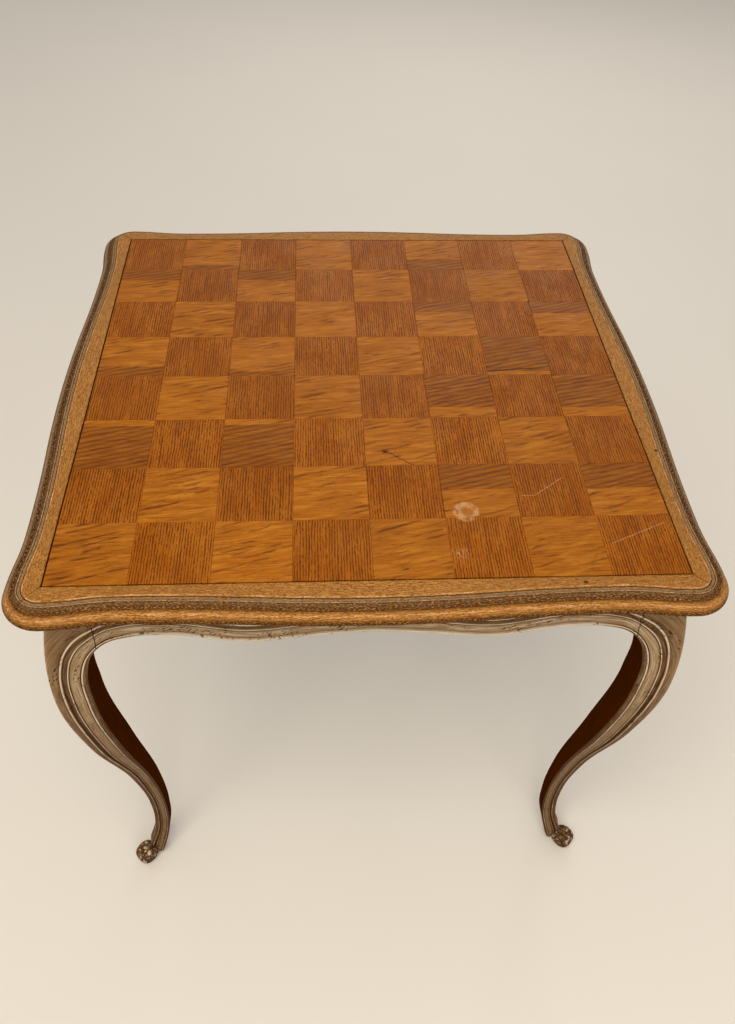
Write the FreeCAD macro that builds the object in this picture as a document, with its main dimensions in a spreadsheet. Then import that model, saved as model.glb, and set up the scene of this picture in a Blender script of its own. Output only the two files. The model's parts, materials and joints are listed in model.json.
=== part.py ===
"""Square games table: a loose chequered oak board in a moulded frame, on four cabriole legs.

Millimetres, +Z up, front towards -Y. The origin is on the floor, midway between the feet.
Sizes across the table are distances from its centre.
"""
import FreeCAD, Part
import math
import os

import Sketcher
from FreeCAD import Placement, Rotation, Vector

UP = Vector(0, 0, 1)
SIDES = ("front", "right", "back", "left")
CORNERS = ("front_left", "front_right", "back_right", "back_left")
QUARTER_TURN = 90.0

# Driving dimensions: alias and value. The playing field is the driving size of the top.
SIZES = (
    ("square_size", 88.0),
    ("square_thickness", 5.0),
    ("core_thickness", 11.0),
    ("lipping_width", 16.0),
    ("baize_thickness", 1.2),
    ("baize_margin", 18.0),
    ("table_height", 740.0),
    ("top_thickness", 26.0),
    ("board_gap", 1.8),
    ("ledge_width", 14.0),
    ("bulge_reach", 399.5),
    ("hollow_reach", 391.0),
    ("hollow_distance", 268.0),
    ("corner_radius", 45.0),
    ("moulding_width", 24.0),
    ("moulding_step", 1.6),
    ("quirk_width", 12.0),
    ("quirk_height", 3.9),
    ("post_inside", 312.0),
    ("toe_reach", 356.0),
    ("toe_radius", 15.5),
    ("toe_width", 24.0),
    ("apron_inside", 340.0),
    ("tenon_length", 22.0),
    ("tenon_thickness", 8.0),
    ("tenon_inside", 345.0),
    ("tenon_bottom", 660.0),
    ("tenon_height", 46.0),
    ("brace_reach", 316.0),
    ("brace_thickness", 22.0),
    ("brace_height", 36.0),
    ("spline_thickness", 4.0),
    ("spline_lift", 2.0),
    ("spline_width", 24.0),
    ("spline_inside", 343.0),
    ("spline_outside", 371.0),
    ("lag_radius", 3.0),
    ("lag_length", 50.0),
    ("screw_radius", 2.0),
    ("screw_length", 36.0),
    ("screw_spacing", 137.0),
    ("head_height", 3.0),
    ("head_factor", 2.0),
    ("pocket_radius", 5.0),
    ("pocket_depth", 12.0),
    ("pocket_drop", 30.0),
    ("pocket_angle", 23.5),
)

# The moulded edge as (inset from the outline, drop from the top): a roll, then a cove up to a fillet.
ROLL = (
    (5.6, 22.1),
    (2.6, 21.6),
    (0.7, 19.8),
    (0.0, 17.0),
    (0.7, 14.2),
    (2.3, 11.4),
    (4.5, 9.4),
    (7.0, 8.1),
    (9.5, 7.5),
    (12.0, 7.9),
)
COVE = (
    (12.0, 7.9),
    (13.6, 7.1),
    (15.2, 5.6),
    (16.5, 4.0),
    (17.6, 1.6),
)

# The sawn outline of a leg as (reach, height): front curve from the top, back curve from the joint.
LEG_FRONT = (
    (354.0, 714.0),
    (371.0, 635.0),
    (378.0, 550.0),
    (366.0, 402.0),
    (340.5, 262.0),
    (330.5, 155.0),
    (332.5, 90.0),
    (342.5, 47.0),
)
LEG_BACK = (
    (312.0, 640.0),
    (320.5, 628.0),
    (329.0, 602.0),
    (333.0, 530.0),
    (322.5, 374.0),
    (309.0, 222.0),
    (307.5, 120.0),
    (316.0, 42.0),
    (330.0, 0.0),
)

# The shaped lower edge of an apron as (distance from its middle, height), for one half.
APRON_EDGE = (
    (0.0, 660.0),
    (62.0, 655.5),
    (137.0, 648.0),
    (232.0, 661.0),
    (274.0, 659.0),
    (298.0, 651.5),
    (312.0, 640.0),
)

# Light squares that are glued up from two strips: (rank, file) and the share of the near strip.
# Rank 1 is at the front and file 1 at the left.
TWO_STRIP_SQUARES = {
    (8, 2): 0.14,
    (8, 6): 0.34,
    (7, 1): 0.66,
    (7, 3): 0.66,
    (6, 6): 0.70,
    (6, 8): 0.66,
    (5, 1): 0.24,
    (5, 3): 0.11,
    (5, 7): 0.09,
    (4, 6): 0.24,
    (4, 8): 0.22,
    (3, 1): 0.87,
    (3, 3): 0.88,
    (2, 6): 0.53,
    (2, 8): 0.52,
}
SQUARES_ACROSS = 8

document = FreeCAD.newDocument("games_table")
sheet = document.addObject("Spreadsheet::Sheet", "Sizes")
for row, (alias, value) in enumerate(SIZES, start=1):
    sheet.set("A%d" % row, alias)
    sheet.set("B%d" % row, str(value))
    sheet.setAlias("B%d" % row, alias)
document.recompute()

sub_parts = []


def size(alias):
    """The value of a driving dimension, read from the sheet."""
    return float(getattr(sheet, alias))


def keep(item, label, turn=0.0):
    """Name a finished sub-part, turn it about the table's centre and list it for export."""
    item.Label = label
    if turn:
        item.Placement = Placement(Vector(), Rotation(UP, turn)).multiply(item.Placement)
    sub_parts.append(item)
    return item


def shaped(label, shape, turn=0.0):
    """A one-solid sub-part whose shape is worked out here, placed once the shape is set."""
    if len(shape.Solids) != 1:
        raise RuntimeError("%s is in %d pieces" % (label, len(shape.Solids)))
    item = document.addObject("Part::Feature", label)
    item.Shape = shape.Solids[0]
    return keep(item, label, turn)


def bind(item, **expressions):
    """Bind properties to the sheet. Two underscores in a name stand for a dot."""
    for name, expression in expressions.items():
        item.setExpression(name.replace("__", "."), expression)


def box(name, length, width, height, left, front, bottom):
    """A Part::Box whose sizes and place are expressions on the sheet."""
    item = document.addObject("Part::Box", name)
    bind(item, Length=length, Width=width, Height=height)
    bind(item, Placement__Base__x=left, Placement__Base__y=front, Placement__Base__z=bottom)
    return item


def group(label, pieces):
    """One sub-part made of like pieces that stay separate solids."""
    item = document.addObject("Part::Compound", label)
    item.Links = pieces
    return keep(item, label)


def curve_through(points, place):
    """A smooth curve through points, each turned into a vector by place."""
    curve = Part.BSplineCurve()
    curve.interpolate([place(*point) for point in points])
    return curve


def origin_plane(body, role):
    """One of a body's own origin planes."""
    return next(plane for plane in body.Origin.OriginFeatures if plane.Role == role)


def sketch_on(body, name, role):
    """An empty sketch on one of the body's own origin planes."""
    sketch = body.newObject("Sketcher::SketchObject", name)
    sketch.AttachmentSupport = (origin_plane(body, role), [""])
    sketch.MapMode = "FlatFace"
    return sketch


def polygon_sketch(body, name, role, corners):
    """A closed polygon whose corners are (x expression, y expression, x guess, y guess)."""
    sketch = sketch_on(body, name, role)
    count = len(corners)
    for number, corner in enumerate(corners):
        following = corners[(number + 1) % count]
        sketch.addGeometry(Part.LineSegment(Vector(*corner[2:], 0), Vector(*following[2:], 0)), False)
    for number in range(count):
        sketch.addConstraint(Sketcher.Constraint("Coincident", number, 2, (number + 1) % count, 1))
    for number, (x_rule, y_rule, x_guess, y_guess) in enumerate(corners):
        for kind, rule, guess in (("DistanceX", x_rule, x_guess), ("DistanceY", y_rule, y_guess)):
            index = sketch.addConstraint(Sketcher.Constraint(kind, -1, 1, number, 1, guess))
            sketch.setExpression("Constraints[%d]" % index, rule)
    return sketch


def pad(body, name, sketch, length):
    """Pad a sketch by an expression."""
    feature = body.newObject("PartDesign::Pad", name)
    feature.Profile = sketch
    feature.setExpression("Length", length)
    return feature


# ---------------------------------------------------------------- outline of the top

def side_arcs():
    """The half outline of one side as tangent arcs, from its middle to the corner's diagonal.

    Each arc is (centre along, centre out, radius, first angle, last angle). A hollow arc has a
    negative radius. The side swells at its middle, dips near the corner and ends in a round.
    """
    bulge = size("bulge_reach")
    hollow = size("hollow_reach")
    hollow_at = size("hollow_distance")
    corner = size("square_size") * SQUARES_ACROSS / 2
    radius = size("corner_radius")
    shoulder = corner + radius
    long_half = hollow_at / 2
    long_rise = (bulge - hollow) / 2
    long_radius = (long_half ** 2 + long_rise ** 2) / (2 * long_rise)
    long_angle = math.asin(long_half / long_radius)
    short_half = (corner - hollow_at) / 2
    short_rise = (shoulder - hollow) / 2
    short_radius = (short_half ** 2 + short_rise ** 2) / (2 * short_rise)
    short_angle = math.asin(short_half / short_radius)
    return (
        (0.0, bulge - long_radius, long_radius, 0.0, long_angle),
        (hollow_at, hollow + long_radius, -long_radius, long_angle, 0.0),
        (hollow_at, hollow + short_radius, -short_radius, 0.0, -short_angle),
        (corner, shoulder - short_radius, short_radius, -short_angle, 0.0),
        (corner, corner, radius, 0.0, math.pi / 4),
    )


def side_edges(inset, level):
    """The front side's edges at a height, from the left diagonal to the right one."""
    def point(arc, angle):
        along, out, radius = arc[:3]
        reach = radius - inset
        return Vector(along + reach * math.sin(angle), -(out + reach * math.cos(angle)), level)

    right = []
    for arc in side_arcs():
        first, last = arc[3:]
        middle = (first + last) / 2
        right.append([point(arc, angle) for angle in (first, middle, last)])
    left = [[Vector(-p.x, p.y, p.z) for p in reversed(points)] for points in reversed(right)]
    return [Part.Arc(*points).toShape() for points in left + right]


def rail_slab(inner_reach, bottom, top):
    """The flat part of a rail, between a straight inner edge and the moulding."""
    edges = side_edges(size("moulding_width"), bottom)
    inner_left = Vector(-inner_reach, -inner_reach, bottom)
    inner_right = Vector(inner_reach, -inner_reach, bottom)
    outline = edges + [
        Part.makeLine(edges[-1].Vertexes[-1].Point, inner_right),
        Part.makeLine(inner_right, inner_left),
        Part.makeLine(inner_left, edges[0].Vertexes[0].Point),
    ]
    return Part.Face(Part.Wire(outline)).extrude(Vector(0, 0, top - bottom))


def moulding_section(start):
    """The moulded edge's section on the left diagonal: roll, cove and flat fillet."""
    top = size("table_height")
    bottom = top - size("top_thickness")
    width = size("moulding_width")
    fillet_level = top - size("moulding_step")
    quirk = size("quirk_width")
    inward = Vector(1, 1, 0).normalize()

    def at(inset, level):
        return Vector(start.x, start.y, 0) + inward * inset + UP * level

    def curve(points):
        return curve_through(points, lambda inset, drop: at(inset, top - drop)).toShape()

    roll_under = at(ROLL[0][0], top - ROLL[0][1])
    cove_top = at(COVE[-1][0], top - COVE[-1][1])
    quirk_top = at(quirk, bottom + size("quirk_height"))
    outline = [
        curve(ROLL),
        curve(COVE),
        Part.makeLine(cove_top, at(width, fillet_level)),
        Part.makeLine(at(width, fillet_level), at(width, bottom)),
        Part.makeLine(at(width, bottom), at(quirk, bottom)),
        Part.makeLine(at(quirk, bottom), quirk_top),
        Part.makeLine(quirk_top, roll_under),
    ]
    return Part.Wire(outline)


def moulding():
    """The moulding of the front rail, swept from one mitre to the other."""
    path = Part.Wire(side_edges(0.0, 0.0))
    sweep = Part.BRepOffsetAPI.MakePipeShell(path)
    sweep.setBiNormalMode(UP)
    sweep.add(moulding_section(path.Vertexes[0].Point))
    sweep.build()
    sweep.makeSolid()
    return sweep.shape()


# ---------------------------------------------------------------- fasteners

def pocket_axis(offset):
    """The start on the apron's inner face and the direction of a screw in its slanted pocket."""
    angle = math.radians(size("pocket_angle"))
    rail_bottom = size("table_height") - size("top_thickness")
    start = Vector(offset, -size("apron_inside"), rail_bottom - size("pocket_drop"))
    return start, Vector(0, -math.sin(angle), math.cos(angle))


def pocket_cutters():
    """What the two pocket screws of the front side remove: each pocket and each shank's hole."""
    cutters = []
    for offset in (-size("screw_spacing"), size("screw_spacing")):
        start, direction = pocket_axis(offset)
        depth = size("pocket_depth")
        mouth = start - direction * (2 * depth)
        cutters.append(Part.makeCylinder(size("pocket_radius"), 3 * depth, mouth, direction))
        shoulder = start + direction * depth
        cutters.append(
            Part.makeCylinder(size("screw_radius"), size("screw_length"), shoulder, direction)
        )
    return cutters


def lag_axis():
    """The head seat and direction of the screw through a corner brace into the front left post."""
    seat = size("brace_reach") - size("brace_thickness") / math.sqrt(2)
    level = size("table_height") - size("top_thickness") - size("brace_height") / 2
    return Vector(-seat, -seat, level), Vector(-1, -1, 0).normalize()


def screw(name, radius, length, base, direction):
    """A pan-headed screw. Its head stands on the seat at base and its shank goes along direction."""
    shank = document.addObject("Part::Cylinder", name + "_shank")
    bind(shank, Radius="Sizes." + radius, Height="Sizes." + length)
    head = document.addObject("Part::Cylinder", name + "_head")
    bind(head, Radius="Sizes.%s * Sizes.head_factor" % radius, Height="Sizes.head_height")
    bind(head, Placement__Base__z="-Sizes.head_height")
    joined = document.addObject("Part::MultiFuse", name)
    joined.Shapes = [shank, head]
    joined.Placement = Placement(base, Rotation(UP, direction))
    return joined


def make_top_screws():
    """Eight screws that hold the aprons up to the rails, two in each apron."""
    screws = []
    for number, side in enumerate(SIDES):
        turn = Rotation(UP, QUARTER_TURN * number)
        for hand, offset in (("a", -size("screw_spacing")), ("b", size("screw_spacing"))):
            start, direction = pocket_axis(offset)
            shoulder = start + direction * size("pocket_depth")
            name = "top_screw_%s_%s" % (side, hand)
            screws.append(
                screw(name, "screw_radius", "screw_length",
                      turn.multVec(shoulder), turn.multVec(direction))
            )
    group("top_screws", screws)


def make_brace_screws():
    """Four long screws, one through each corner brace into the leg's post."""
    base, direction = lag_axis()
    screws = []
    for number, corner in enumerate(CORNERS):
        turn = Rotation(UP, QUARTER_TURN * number)
        screws.append(
            screw("brace_screw_" + corner, "lag_radius", "lag_length",
                  turn.multVec(base), turn.multVec(direction))
        )
    group("brace_screws", screws)


# ---------------------------------------------------------------- moulded frame of the top

def spline_seat(number):
    """Where the spline of a corner lies, along the diagonal through its mitre."""
    turn = Rotation(UP, 225.0 + QUARTER_TURN * number)
    bottom = size("table_height") - size("top_thickness") + size("spline_lift")
    reach = size("spline_inside") * math.sqrt(2)
    return Placement(turn.multVec(Vector(reach, -size("spline_width") / 2, bottom)), turn)


def make_mitre_splines():
    """A loose tongue across each mitre, hidden in the thickness of the ledge."""
    splines = []
    for number, corner in enumerate(CORNERS):
        tongue = document.addObject("Part::Box", "mitre_spline_" + corner)
        bind(
            tongue,
            Length="(Sizes.spline_outside - Sizes.spline_inside) * %.9f" % math.sqrt(2),
            Width="Sizes.spline_width",
            Height="Sizes.spline_thickness",
        )
        tongue.Placement = spline_seat(number)
        splines.append(tongue)
    group("mitre_splines", splines)


def spline_slots():
    """The slots that the two splines of the front rail fill."""
    length = (size("spline_outside") - size("spline_inside")) * math.sqrt(2)
    slots = []
    for number in (0, 1):
        slot = Part.makeBox(length, size("spline_width"), size("spline_thickness"))
        slot.Placement = spline_seat(number)
        slots.append(slot)
    return slots


def make_rails():
    """Four mitred rails: a moulded serpentine edge, a flat band and a ledge for the board."""
    top = size("table_height")
    bottom = top - size("top_thickness")
    board_bottom = top - size("square_thickness") - size("core_thickness")
    field = size("square_size") * SQUARES_ACROSS / 2
    ledge = rail_slab(field - size("ledge_width"), bottom, board_bottom)
    band = rail_slab(field + size("board_gap"), board_bottom, top)
    rail = ledge.fuse([band, moulding()]).removeSplitter()
    rail = rail.cut(spline_slots() + pocket_cutters())
    for number, side in enumerate(SIDES):
        shaped("top_rail_" + side, rail, QUARTER_TURN * number)


# ---------------------------------------------------------------- legs, aprons and braces

def leg_outline():
    """The closed sawn outline of a leg in the XZ plane, on the left of the table."""
    def place(reach, height):
        return Vector(-reach, 0, height)

    front = curve_through(LEG_FRONT, place).toShape()
    back = curve_through(LEG_BACK, place).toShape()
    inside = size("post_inside")
    corners = [
        place(*LEG_FRONT[-1]),
        place(size("toe_reach"), size("toe_radius") * 2),
        place(size("toe_reach"), 0.0),
        place(*LEG_BACK[-1]),
    ]
    post = [place(*LEG_BACK[0]), place(inside, LEG_FRONT[0][1]), place(*LEG_FRONT[0])]
    lines = [Part.makeLine(a, b) for a, b in zip(corners, corners[1:])]
    lines += [Part.makeLine(a, b) for a, b in zip(post, post[1:])]
    return Part.Face(Part.Wire(Part.__sortEdges__([front, back] + lines)))


def toe():
    """The rolled toe: a short drum lying across the leg's diagonal, flush with the floor."""
    across = Vector(1, -1, 0).normalize()
    centre = Vector(-size("toe_reach"), -size("toe_reach"), size("toe_radius"))
    start = centre - across * (size("toe_width") / 2)
    return Part.makeCylinder(size("toe_radius"), size("toe_width"), start, across)


def tenon_box(reach_first):
    """The space of a tenon in the front left post, from the front apron or from the left one."""
    length = size("tenon_length")
    inside = size("tenon_inside")
    thickness = size("tenon_thickness")
    post = size("post_inside")
    first = (-post - length, -inside - thickness)
    spans = (length, thickness)
    if not reach_first:
        first = first[::-1]
        spans = spans[::-1]
    corner = Vector(first[0], first[1], size("tenon_bottom"))
    return Part.makeBox(spans[0], spans[1], size("tenon_height"), corner)


def brace_space():
    """The room that a corner brace takes in the front left corner, used to flat the post."""
    reach = size("brace_reach")
    inside = size("apron_inside")
    other = 2 * reach - inside
    far = 2 * inside
    bottom = size("table_height") - size("top_thickness") - size("brace_height")
    outline = Part.makePolygon([
        Vector(-inside, -other, bottom),
        Vector(-other, -inside, bottom),
        Vector(-other + far, -inside, bottom),
        Vector(-inside, -other + far, bottom),
        Vector(-inside, -other, bottom),
    ])
    return Part.Face(outline).extrude(Vector(0, 0, size("brace_height")))


def make_legs():
    """Four legs, each sawn to the same outline on two faces, with a rolled toe."""
    profile = leg_outline()
    long = size("table_height")
    across = profile.copy()
    across.translate(Vector(0, -long, 0))
    across = across.extrude(Vector(0, 2 * long, 0))
    along = across.mirror(Vector(), Vector(1, -1, 0))
    sawn = across.common(along)
    base, direction = lag_axis()
    lag = Part.makeCylinder(size("lag_radius"), size("lag_length"), base, direction)
    leg = sawn.fuse(toe()).cut([tenon_box(True), tenon_box(False), brace_space(), lag])
    for number, corner in enumerate(CORNERS):
        shaped("leg_" + corner, leg, QUARTER_TURN * number)


def apron_blank():
    """The apron's curved face and flat back, as long as the gap between two posts."""
    def place(reach, height):
        return Vector(-size("post_inside"), -reach, height)

    curve = curve_through(LEG_FRONT, place)
    knee = place(*LEG_FRONT[2])
    face_edge = curve.toShape(curve.FirstParameter, curve.parameter(knee))
    top_inside = place(size("apron_inside"), LEG_FRONT[0][1])
    low_inside = place(size("apron_inside"), LEG_FRONT[2][1])
    outline = [
        face_edge,
        Part.makeLine(knee, low_inside),
        Part.makeLine(low_inside, top_inside),
        Part.makeLine(top_inside, place(*LEG_FRONT[0])),
    ]
    return Part.Face(Part.Wire(outline)).extrude(Vector(2 * size("post_inside"), 0, 0))


def apron_silhouette():
    """Everything above the apron's shaped lower edge, as a solid seen from the front."""
    half = size("post_inside")
    top = LEG_FRONT[0][1]
    left = [(-along, height) for along, height in reversed(APRON_EDGE[1:])]
    curve = curve_through(left + list(APRON_EDGE), lambda along, height: Vector(along, 0, height))
    corners = [
        Vector(half, 0, APRON_EDGE[-1][1]),
        Vector(half, 0, top),
        Vector(-half, 0, top),
        Vector(-half, 0, APRON_EDGE[-1][1]),
    ]
    lines = [Part.makeLine(a, b) for a, b in zip(corners, corners[1:])]
    face = Part.Face(Part.Wire([curve.toShape()] + lines))
    return face.extrude(Vector(0, -size("table_height"), 0))


def make_aprons():
    """Four aprons with a shaped lower edge, a tenon at each end and two screw pockets."""
    tenon = tenon_box(True)
    other = tenon.mirror(Vector(), Vector(1, 0, 0))
    apron = apron_blank().common(apron_silhouette())
    apron = apron.fuse([tenon, other]).cut(pocket_cutters())
    for number, side in enumerate(SIDES):
        shaped("apron_" + side, apron, QUARTER_TURN * number)


def make_braces():
    """A glued brace across each corner, its ends flat on the aprons, with a hole for its screw."""
    short = "((Sizes.apron_inside - Sizes.brace_reach) * %.9f)" % math.sqrt(2)
    long = "(%s + Sizes.brace_thickness)" % short
    short_guess = (size("apron_inside") - size("brace_reach")) * math.sqrt(2)
    thickness = size("brace_thickness")
    corners = (
        ("-" + short, "0", -short_guess, 0),
        (short, "0", short_guess, 0),
        (long, "Sizes.brace_thickness", short_guess + thickness, thickness),
        ("-" + long, "Sizes.brace_thickness", -short_guess - thickness, thickness),
    )
    bottom = size("table_height") - size("top_thickness") - size("brace_height")
    for number, corner in enumerate(CORNERS):
        body = document.addObject("PartDesign::Body", "corner_brace_" + corner)
        pad(body, "brace_pad", polygon_sketch(body, "brace_plan", "XY_Plane", corners),
            "Sizes.brace_height")
        hole_sketch = sketch_on(body, "brace_hole_plan", "XZ_Plane")
        circle = Part.Circle(Vector(0, size("brace_height") / 2, 0), Vector(0, 0, 1), size("lag_radius"))
        hole_sketch.addGeometry(circle, False)
        hole_sketch.addConstraint(Sketcher.Constraint("PointOnObject", 0, 3, -2))
        level = hole_sketch.addConstraint(
            Sketcher.Constraint("DistanceY", -1, 1, 0, 3, size("brace_height") / 2))
        hole_sketch.setExpression("Constraints[%d]" % level, "Sizes.brace_height / 2")
        radius = hole_sketch.addConstraint(Sketcher.Constraint("Radius", 0, size("lag_radius")))
        hole_sketch.setExpression("Constraints[%d]" % radius, "Sizes.lag_radius")
        hole = body.newObject("PartDesign::Pocket", "brace_hole")
        hole.Profile = hole_sketch
        hole.Type = "ThroughAll"
        hole.Midplane = True
        reach = size("brace_reach")
        body.Placement = Placement(Vector(-reach, -reach, bottom), Rotation(UP, -QUARTER_TURN / 2))
        keep(body, "corner_brace_" + corner, QUARTER_TURN * number)


# ---------------------------------------------------------------- loose board

BOARD_BOTTOM = "(Sizes.table_height - Sizes.square_thickness - Sizes.core_thickness)"
HALF_FIELD = "(Sizes.square_size * %d)" % (SQUARES_ACROSS // 2)


def make_core():
    """The board's core, inside its oak lippings."""
    half = "(%s - Sizes.lipping_width)" % HALF_FIELD
    core = box("board_core", "2 * " + half, "2 * " + half, "Sizes.core_thickness",
               "-" + half, "-" + half, BOARD_BOTTOM)
    keep(core, "board_core")


def make_baize():
    """The cloth bonded under the board, clear of the ledge all round."""
    half = "(%s - Sizes.baize_margin)" % HALF_FIELD
    baize = box("board_baize", "2 * " + half, "2 * " + half, "Sizes.baize_thickness",
                "-" + half, "-" + half, BOARD_BOTTOM + " - Sizes.baize_thickness")
    keep(baize, "board_baize")


def make_lippings():
    """Four mitred strips round the core, which carry the board on the ledge."""
    outer = size("square_size") * SQUARES_ACROSS / 2
    inner = outer - size("lipping_width")
    outer_rule = HALF_FIELD
    inner_rule = "(%s - Sizes.lipping_width)" % HALF_FIELD
    corners = (
        ("-" + outer_rule, "-" + outer_rule, -outer, -outer),
        (outer_rule, "-" + outer_rule, outer, -outer),
        (inner_rule, "-" + inner_rule, inner, -inner),
        ("-" + inner_rule, "-" + inner_rule, -inner, -inner),
    )
    for number, side in enumerate(SIDES):
        body = document.addObject("PartDesign::Body", "board_lipping_" + side)
        pad(body, "lipping_pad", polygon_sketch(body, "lipping_plan", "XY_Plane", corners),
            "Sizes.core_thickness")
        bottom = size("table_height") - size("square_thickness") - size("core_thickness")
        body.Placement = Placement(Vector(0, 0, bottom), Rotation())
        keep(body, "board_lipping_" + side, QUARTER_TURN * number)


def square_strips(rank, file):
    """A square as one block, or as its two strips, given as (share start, share end)."""
    near_share = TWO_STRIP_SQUARES.get((rank, file))
    if near_share is None:
        return ((0.0, 1.0),)
    return ((0.0, near_share), (near_share, 1.0))


def make_squares():
    """The chequered face: a node of dark squares and a node of light ones for each rank."""
    half_count = SQUARES_ACROSS // 2
    bottom = "Sizes.table_height - Sizes.square_thickness"
    for rank in range(1, SQUARES_ACROSS + 1):
        ranks = {"dark": [], "light": []}
        for file in range(1, SQUARES_ACROSS + 1):
            colour = "light" if (rank + file) % 2 == 0 else "dark"
            for strip, (start, end) in enumerate(square_strips(rank, file), start=1):
                name = "%s_square_%d_%d_%d" % (colour, rank, file, strip)
                ranks[colour].append(
                    box(name, "Sizes.square_size", "Sizes.square_size * %.2f" % (end - start),
                        "Sizes.square_thickness", "Sizes.square_size * %d" % (file - 1 - half_count),
                        "Sizes.square_size * %.2f" % (rank - 1 - half_count + start), bottom)
                )
        for colour, squares in ranks.items():
            group("%s_squares_rank_%d" % (colour, rank), squares)


# ---------------------------------------------------------------- build, test and export

def check():
    """Stop if any object failed, or if a sub-part is not a valid closed shape."""
    for item in document.Objects:
        if "Invalid" in item.State or "Error" in item.State:
            raise RuntimeError("%s failed: %s" % (item.Label, item.State))
    for item in sub_parts:
        shape = item.Shape
        if shape.isNull() or not shape.isValid() or not shape.Solids:
            raise RuntimeError("%s has no valid solid" % item.Label)


def export():
    """Write each sub-part to its own file and print its volume."""
    os.makedirs("parts", exist_ok=True)
    for item in sub_parts:
        item.Shape.exportStep("parts/%s.step" % item.Label)
        print("%-26s %2d solids %10.0f mm3" % (item.Label, len(item.Shape.Solids), item.Shape.Volume))


make_mitre_splines()
make_rails()
make_legs()
make_aprons()
make_braces()
make_brace_screws()
make_top_screws()
make_core()
make_lippings()
make_baize()
make_squares()
document.recompute()
check()
export()
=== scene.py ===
import json
import math
import random

import bmesh
import bpy
import numpy as np
from mathutils import Matrix, Vector


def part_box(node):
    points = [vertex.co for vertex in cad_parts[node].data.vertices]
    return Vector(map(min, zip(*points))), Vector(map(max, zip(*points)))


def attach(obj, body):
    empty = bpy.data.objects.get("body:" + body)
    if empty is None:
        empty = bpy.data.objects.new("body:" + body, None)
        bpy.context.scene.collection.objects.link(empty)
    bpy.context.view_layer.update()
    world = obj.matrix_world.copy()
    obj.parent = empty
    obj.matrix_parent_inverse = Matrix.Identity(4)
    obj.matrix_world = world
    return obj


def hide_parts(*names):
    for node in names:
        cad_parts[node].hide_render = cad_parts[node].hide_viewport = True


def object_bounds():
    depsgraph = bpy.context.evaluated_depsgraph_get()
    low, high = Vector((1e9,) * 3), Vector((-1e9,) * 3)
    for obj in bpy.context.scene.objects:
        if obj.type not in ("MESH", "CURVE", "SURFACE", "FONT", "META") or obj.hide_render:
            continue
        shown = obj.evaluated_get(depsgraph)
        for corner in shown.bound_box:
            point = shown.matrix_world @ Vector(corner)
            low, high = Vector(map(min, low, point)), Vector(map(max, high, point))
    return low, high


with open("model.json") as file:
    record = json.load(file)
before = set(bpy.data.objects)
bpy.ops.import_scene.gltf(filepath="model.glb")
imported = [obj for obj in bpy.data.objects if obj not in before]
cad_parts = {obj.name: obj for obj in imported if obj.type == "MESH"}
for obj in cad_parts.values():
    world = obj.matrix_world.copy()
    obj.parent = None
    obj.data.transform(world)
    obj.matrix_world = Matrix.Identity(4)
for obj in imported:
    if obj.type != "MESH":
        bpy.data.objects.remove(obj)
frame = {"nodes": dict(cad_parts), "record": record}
cad_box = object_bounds()

bl_info = {
    "name": "Games Table",
    "version": (1, 0, 0),
    "blender": (4, 5, 0),
    "location": "3D View > Sidebar > Games Table",
    "description": "Oak games table with a loose chequered board and painted cabriole legs",
    "category": "Add Mesh",
}

MM = 0.001
SIDES = ("front", "right", "back", "left")
CORNERS = ("front_left", "front_right", "back_right", "back_left")
RANKS = range(1, 9)
FILES = range(1, 9)
# How far, in metres, the grain and wear of one rail, leg or apron are moved on from the last one's.
RAIL_SHIFT = 1.3
LEG_SHIFT = 1.7
APRON_SHIFT = 1.3
FIRST_APRON_SHIFT = 8.0
# Halvings of a search for where a ray meets a line.
HALVINGS = 40

# ---------------------------------------------------------------- shapes, in millimetres

# The sawn outline of a leg as (reach from the middle of the table, height).
LEG_FRONT = ((354, 714), (371, 635), (378, 550), (366, 402), (340.5, 262), (330.5, 155), (331.5, 95),
             (336, 62), (342.5, 40), (348.5, 24), (350, 10), (347, 0))
LEG_BACK = ((320.5, 628), (329, 602), (333, 530), (322.5, 374), (309, 222), (307.5, 120), (312, 62),
            (321, 28), (331, 0))
# Half of an apron's lower edge, from its middle to the leg, as (distance, height).
APRON_EDGE = ((0, 660), (62, 655.5), (137, 648), (232, 661), (274, 659), (298, 651.5), (312, 640))

# The crest of the outer bead, from the middle of the apron and down the leg.
BEAD_LINE = ((0, 687), (62, 682.5), (137, 675), (232, 688), (274, 686), (298, 680), (312, 673), (336, 655),
             (350, 634), (358, 610), (363, 582), (365, 545), (359.5, 440), (352.5, 376), (333, 270),
             (328, 220), (323.5, 150), (325.5, 90), (330, 60), (336.5, 42), (342, 28), (345, 14), (342, 0))

# The moulded face of legs and aprons, from the inner edge outwards: (distance, depth, rub).
# Rub is how far the paint is worn to a pale bead, from 0 in a dark line to 1 on a ridge.
FACE_ROWS = (
    (0.0, 4.6, 0.10), (0.5, 3.1, 0.18), (1.6, 1.8, 0.26), (3.2, 0.9, 0.30), (4.6, 0.9, 0.12),
    (5.0, 0.5, 0.80), (5.6, 0.1, 1.0), (6.3, 0.0, 1.0), (6.8, 0.1, 1.0), (7.0, 0.7, 0.3),
    (7.2, 2.0, 0.0), (8.2, 2.0, 0.0), (8.5, 0.9, 0.58), (11.0, 1.4, 0.68), (14.6, 1.7, 0.73),
    (18.2, 1.4, 0.68), (20.5, 0.9, 0.54), (20.8, 2.0, 0.0), (21.7, 2.0, 0.0), (22.0, 0.6, 0.9),
    (23.0, 0.4, 1.0), (23.5, 0.8, 0.7), (23.9, 2.3, 0.25), (25.4, 3.2, 0.22), (27.2, 3.5, 0.26),
    (28.8, 3.1, 0.20), (29.6, 1.9, 0.0), (30.2, 0.6, 0.50), (30.9, 0.0, 1.0), (32.0, 0.0, 1.0),
    (32.6, 0.2, 0.9), (33.0, 0.9, 0.20),
)
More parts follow.
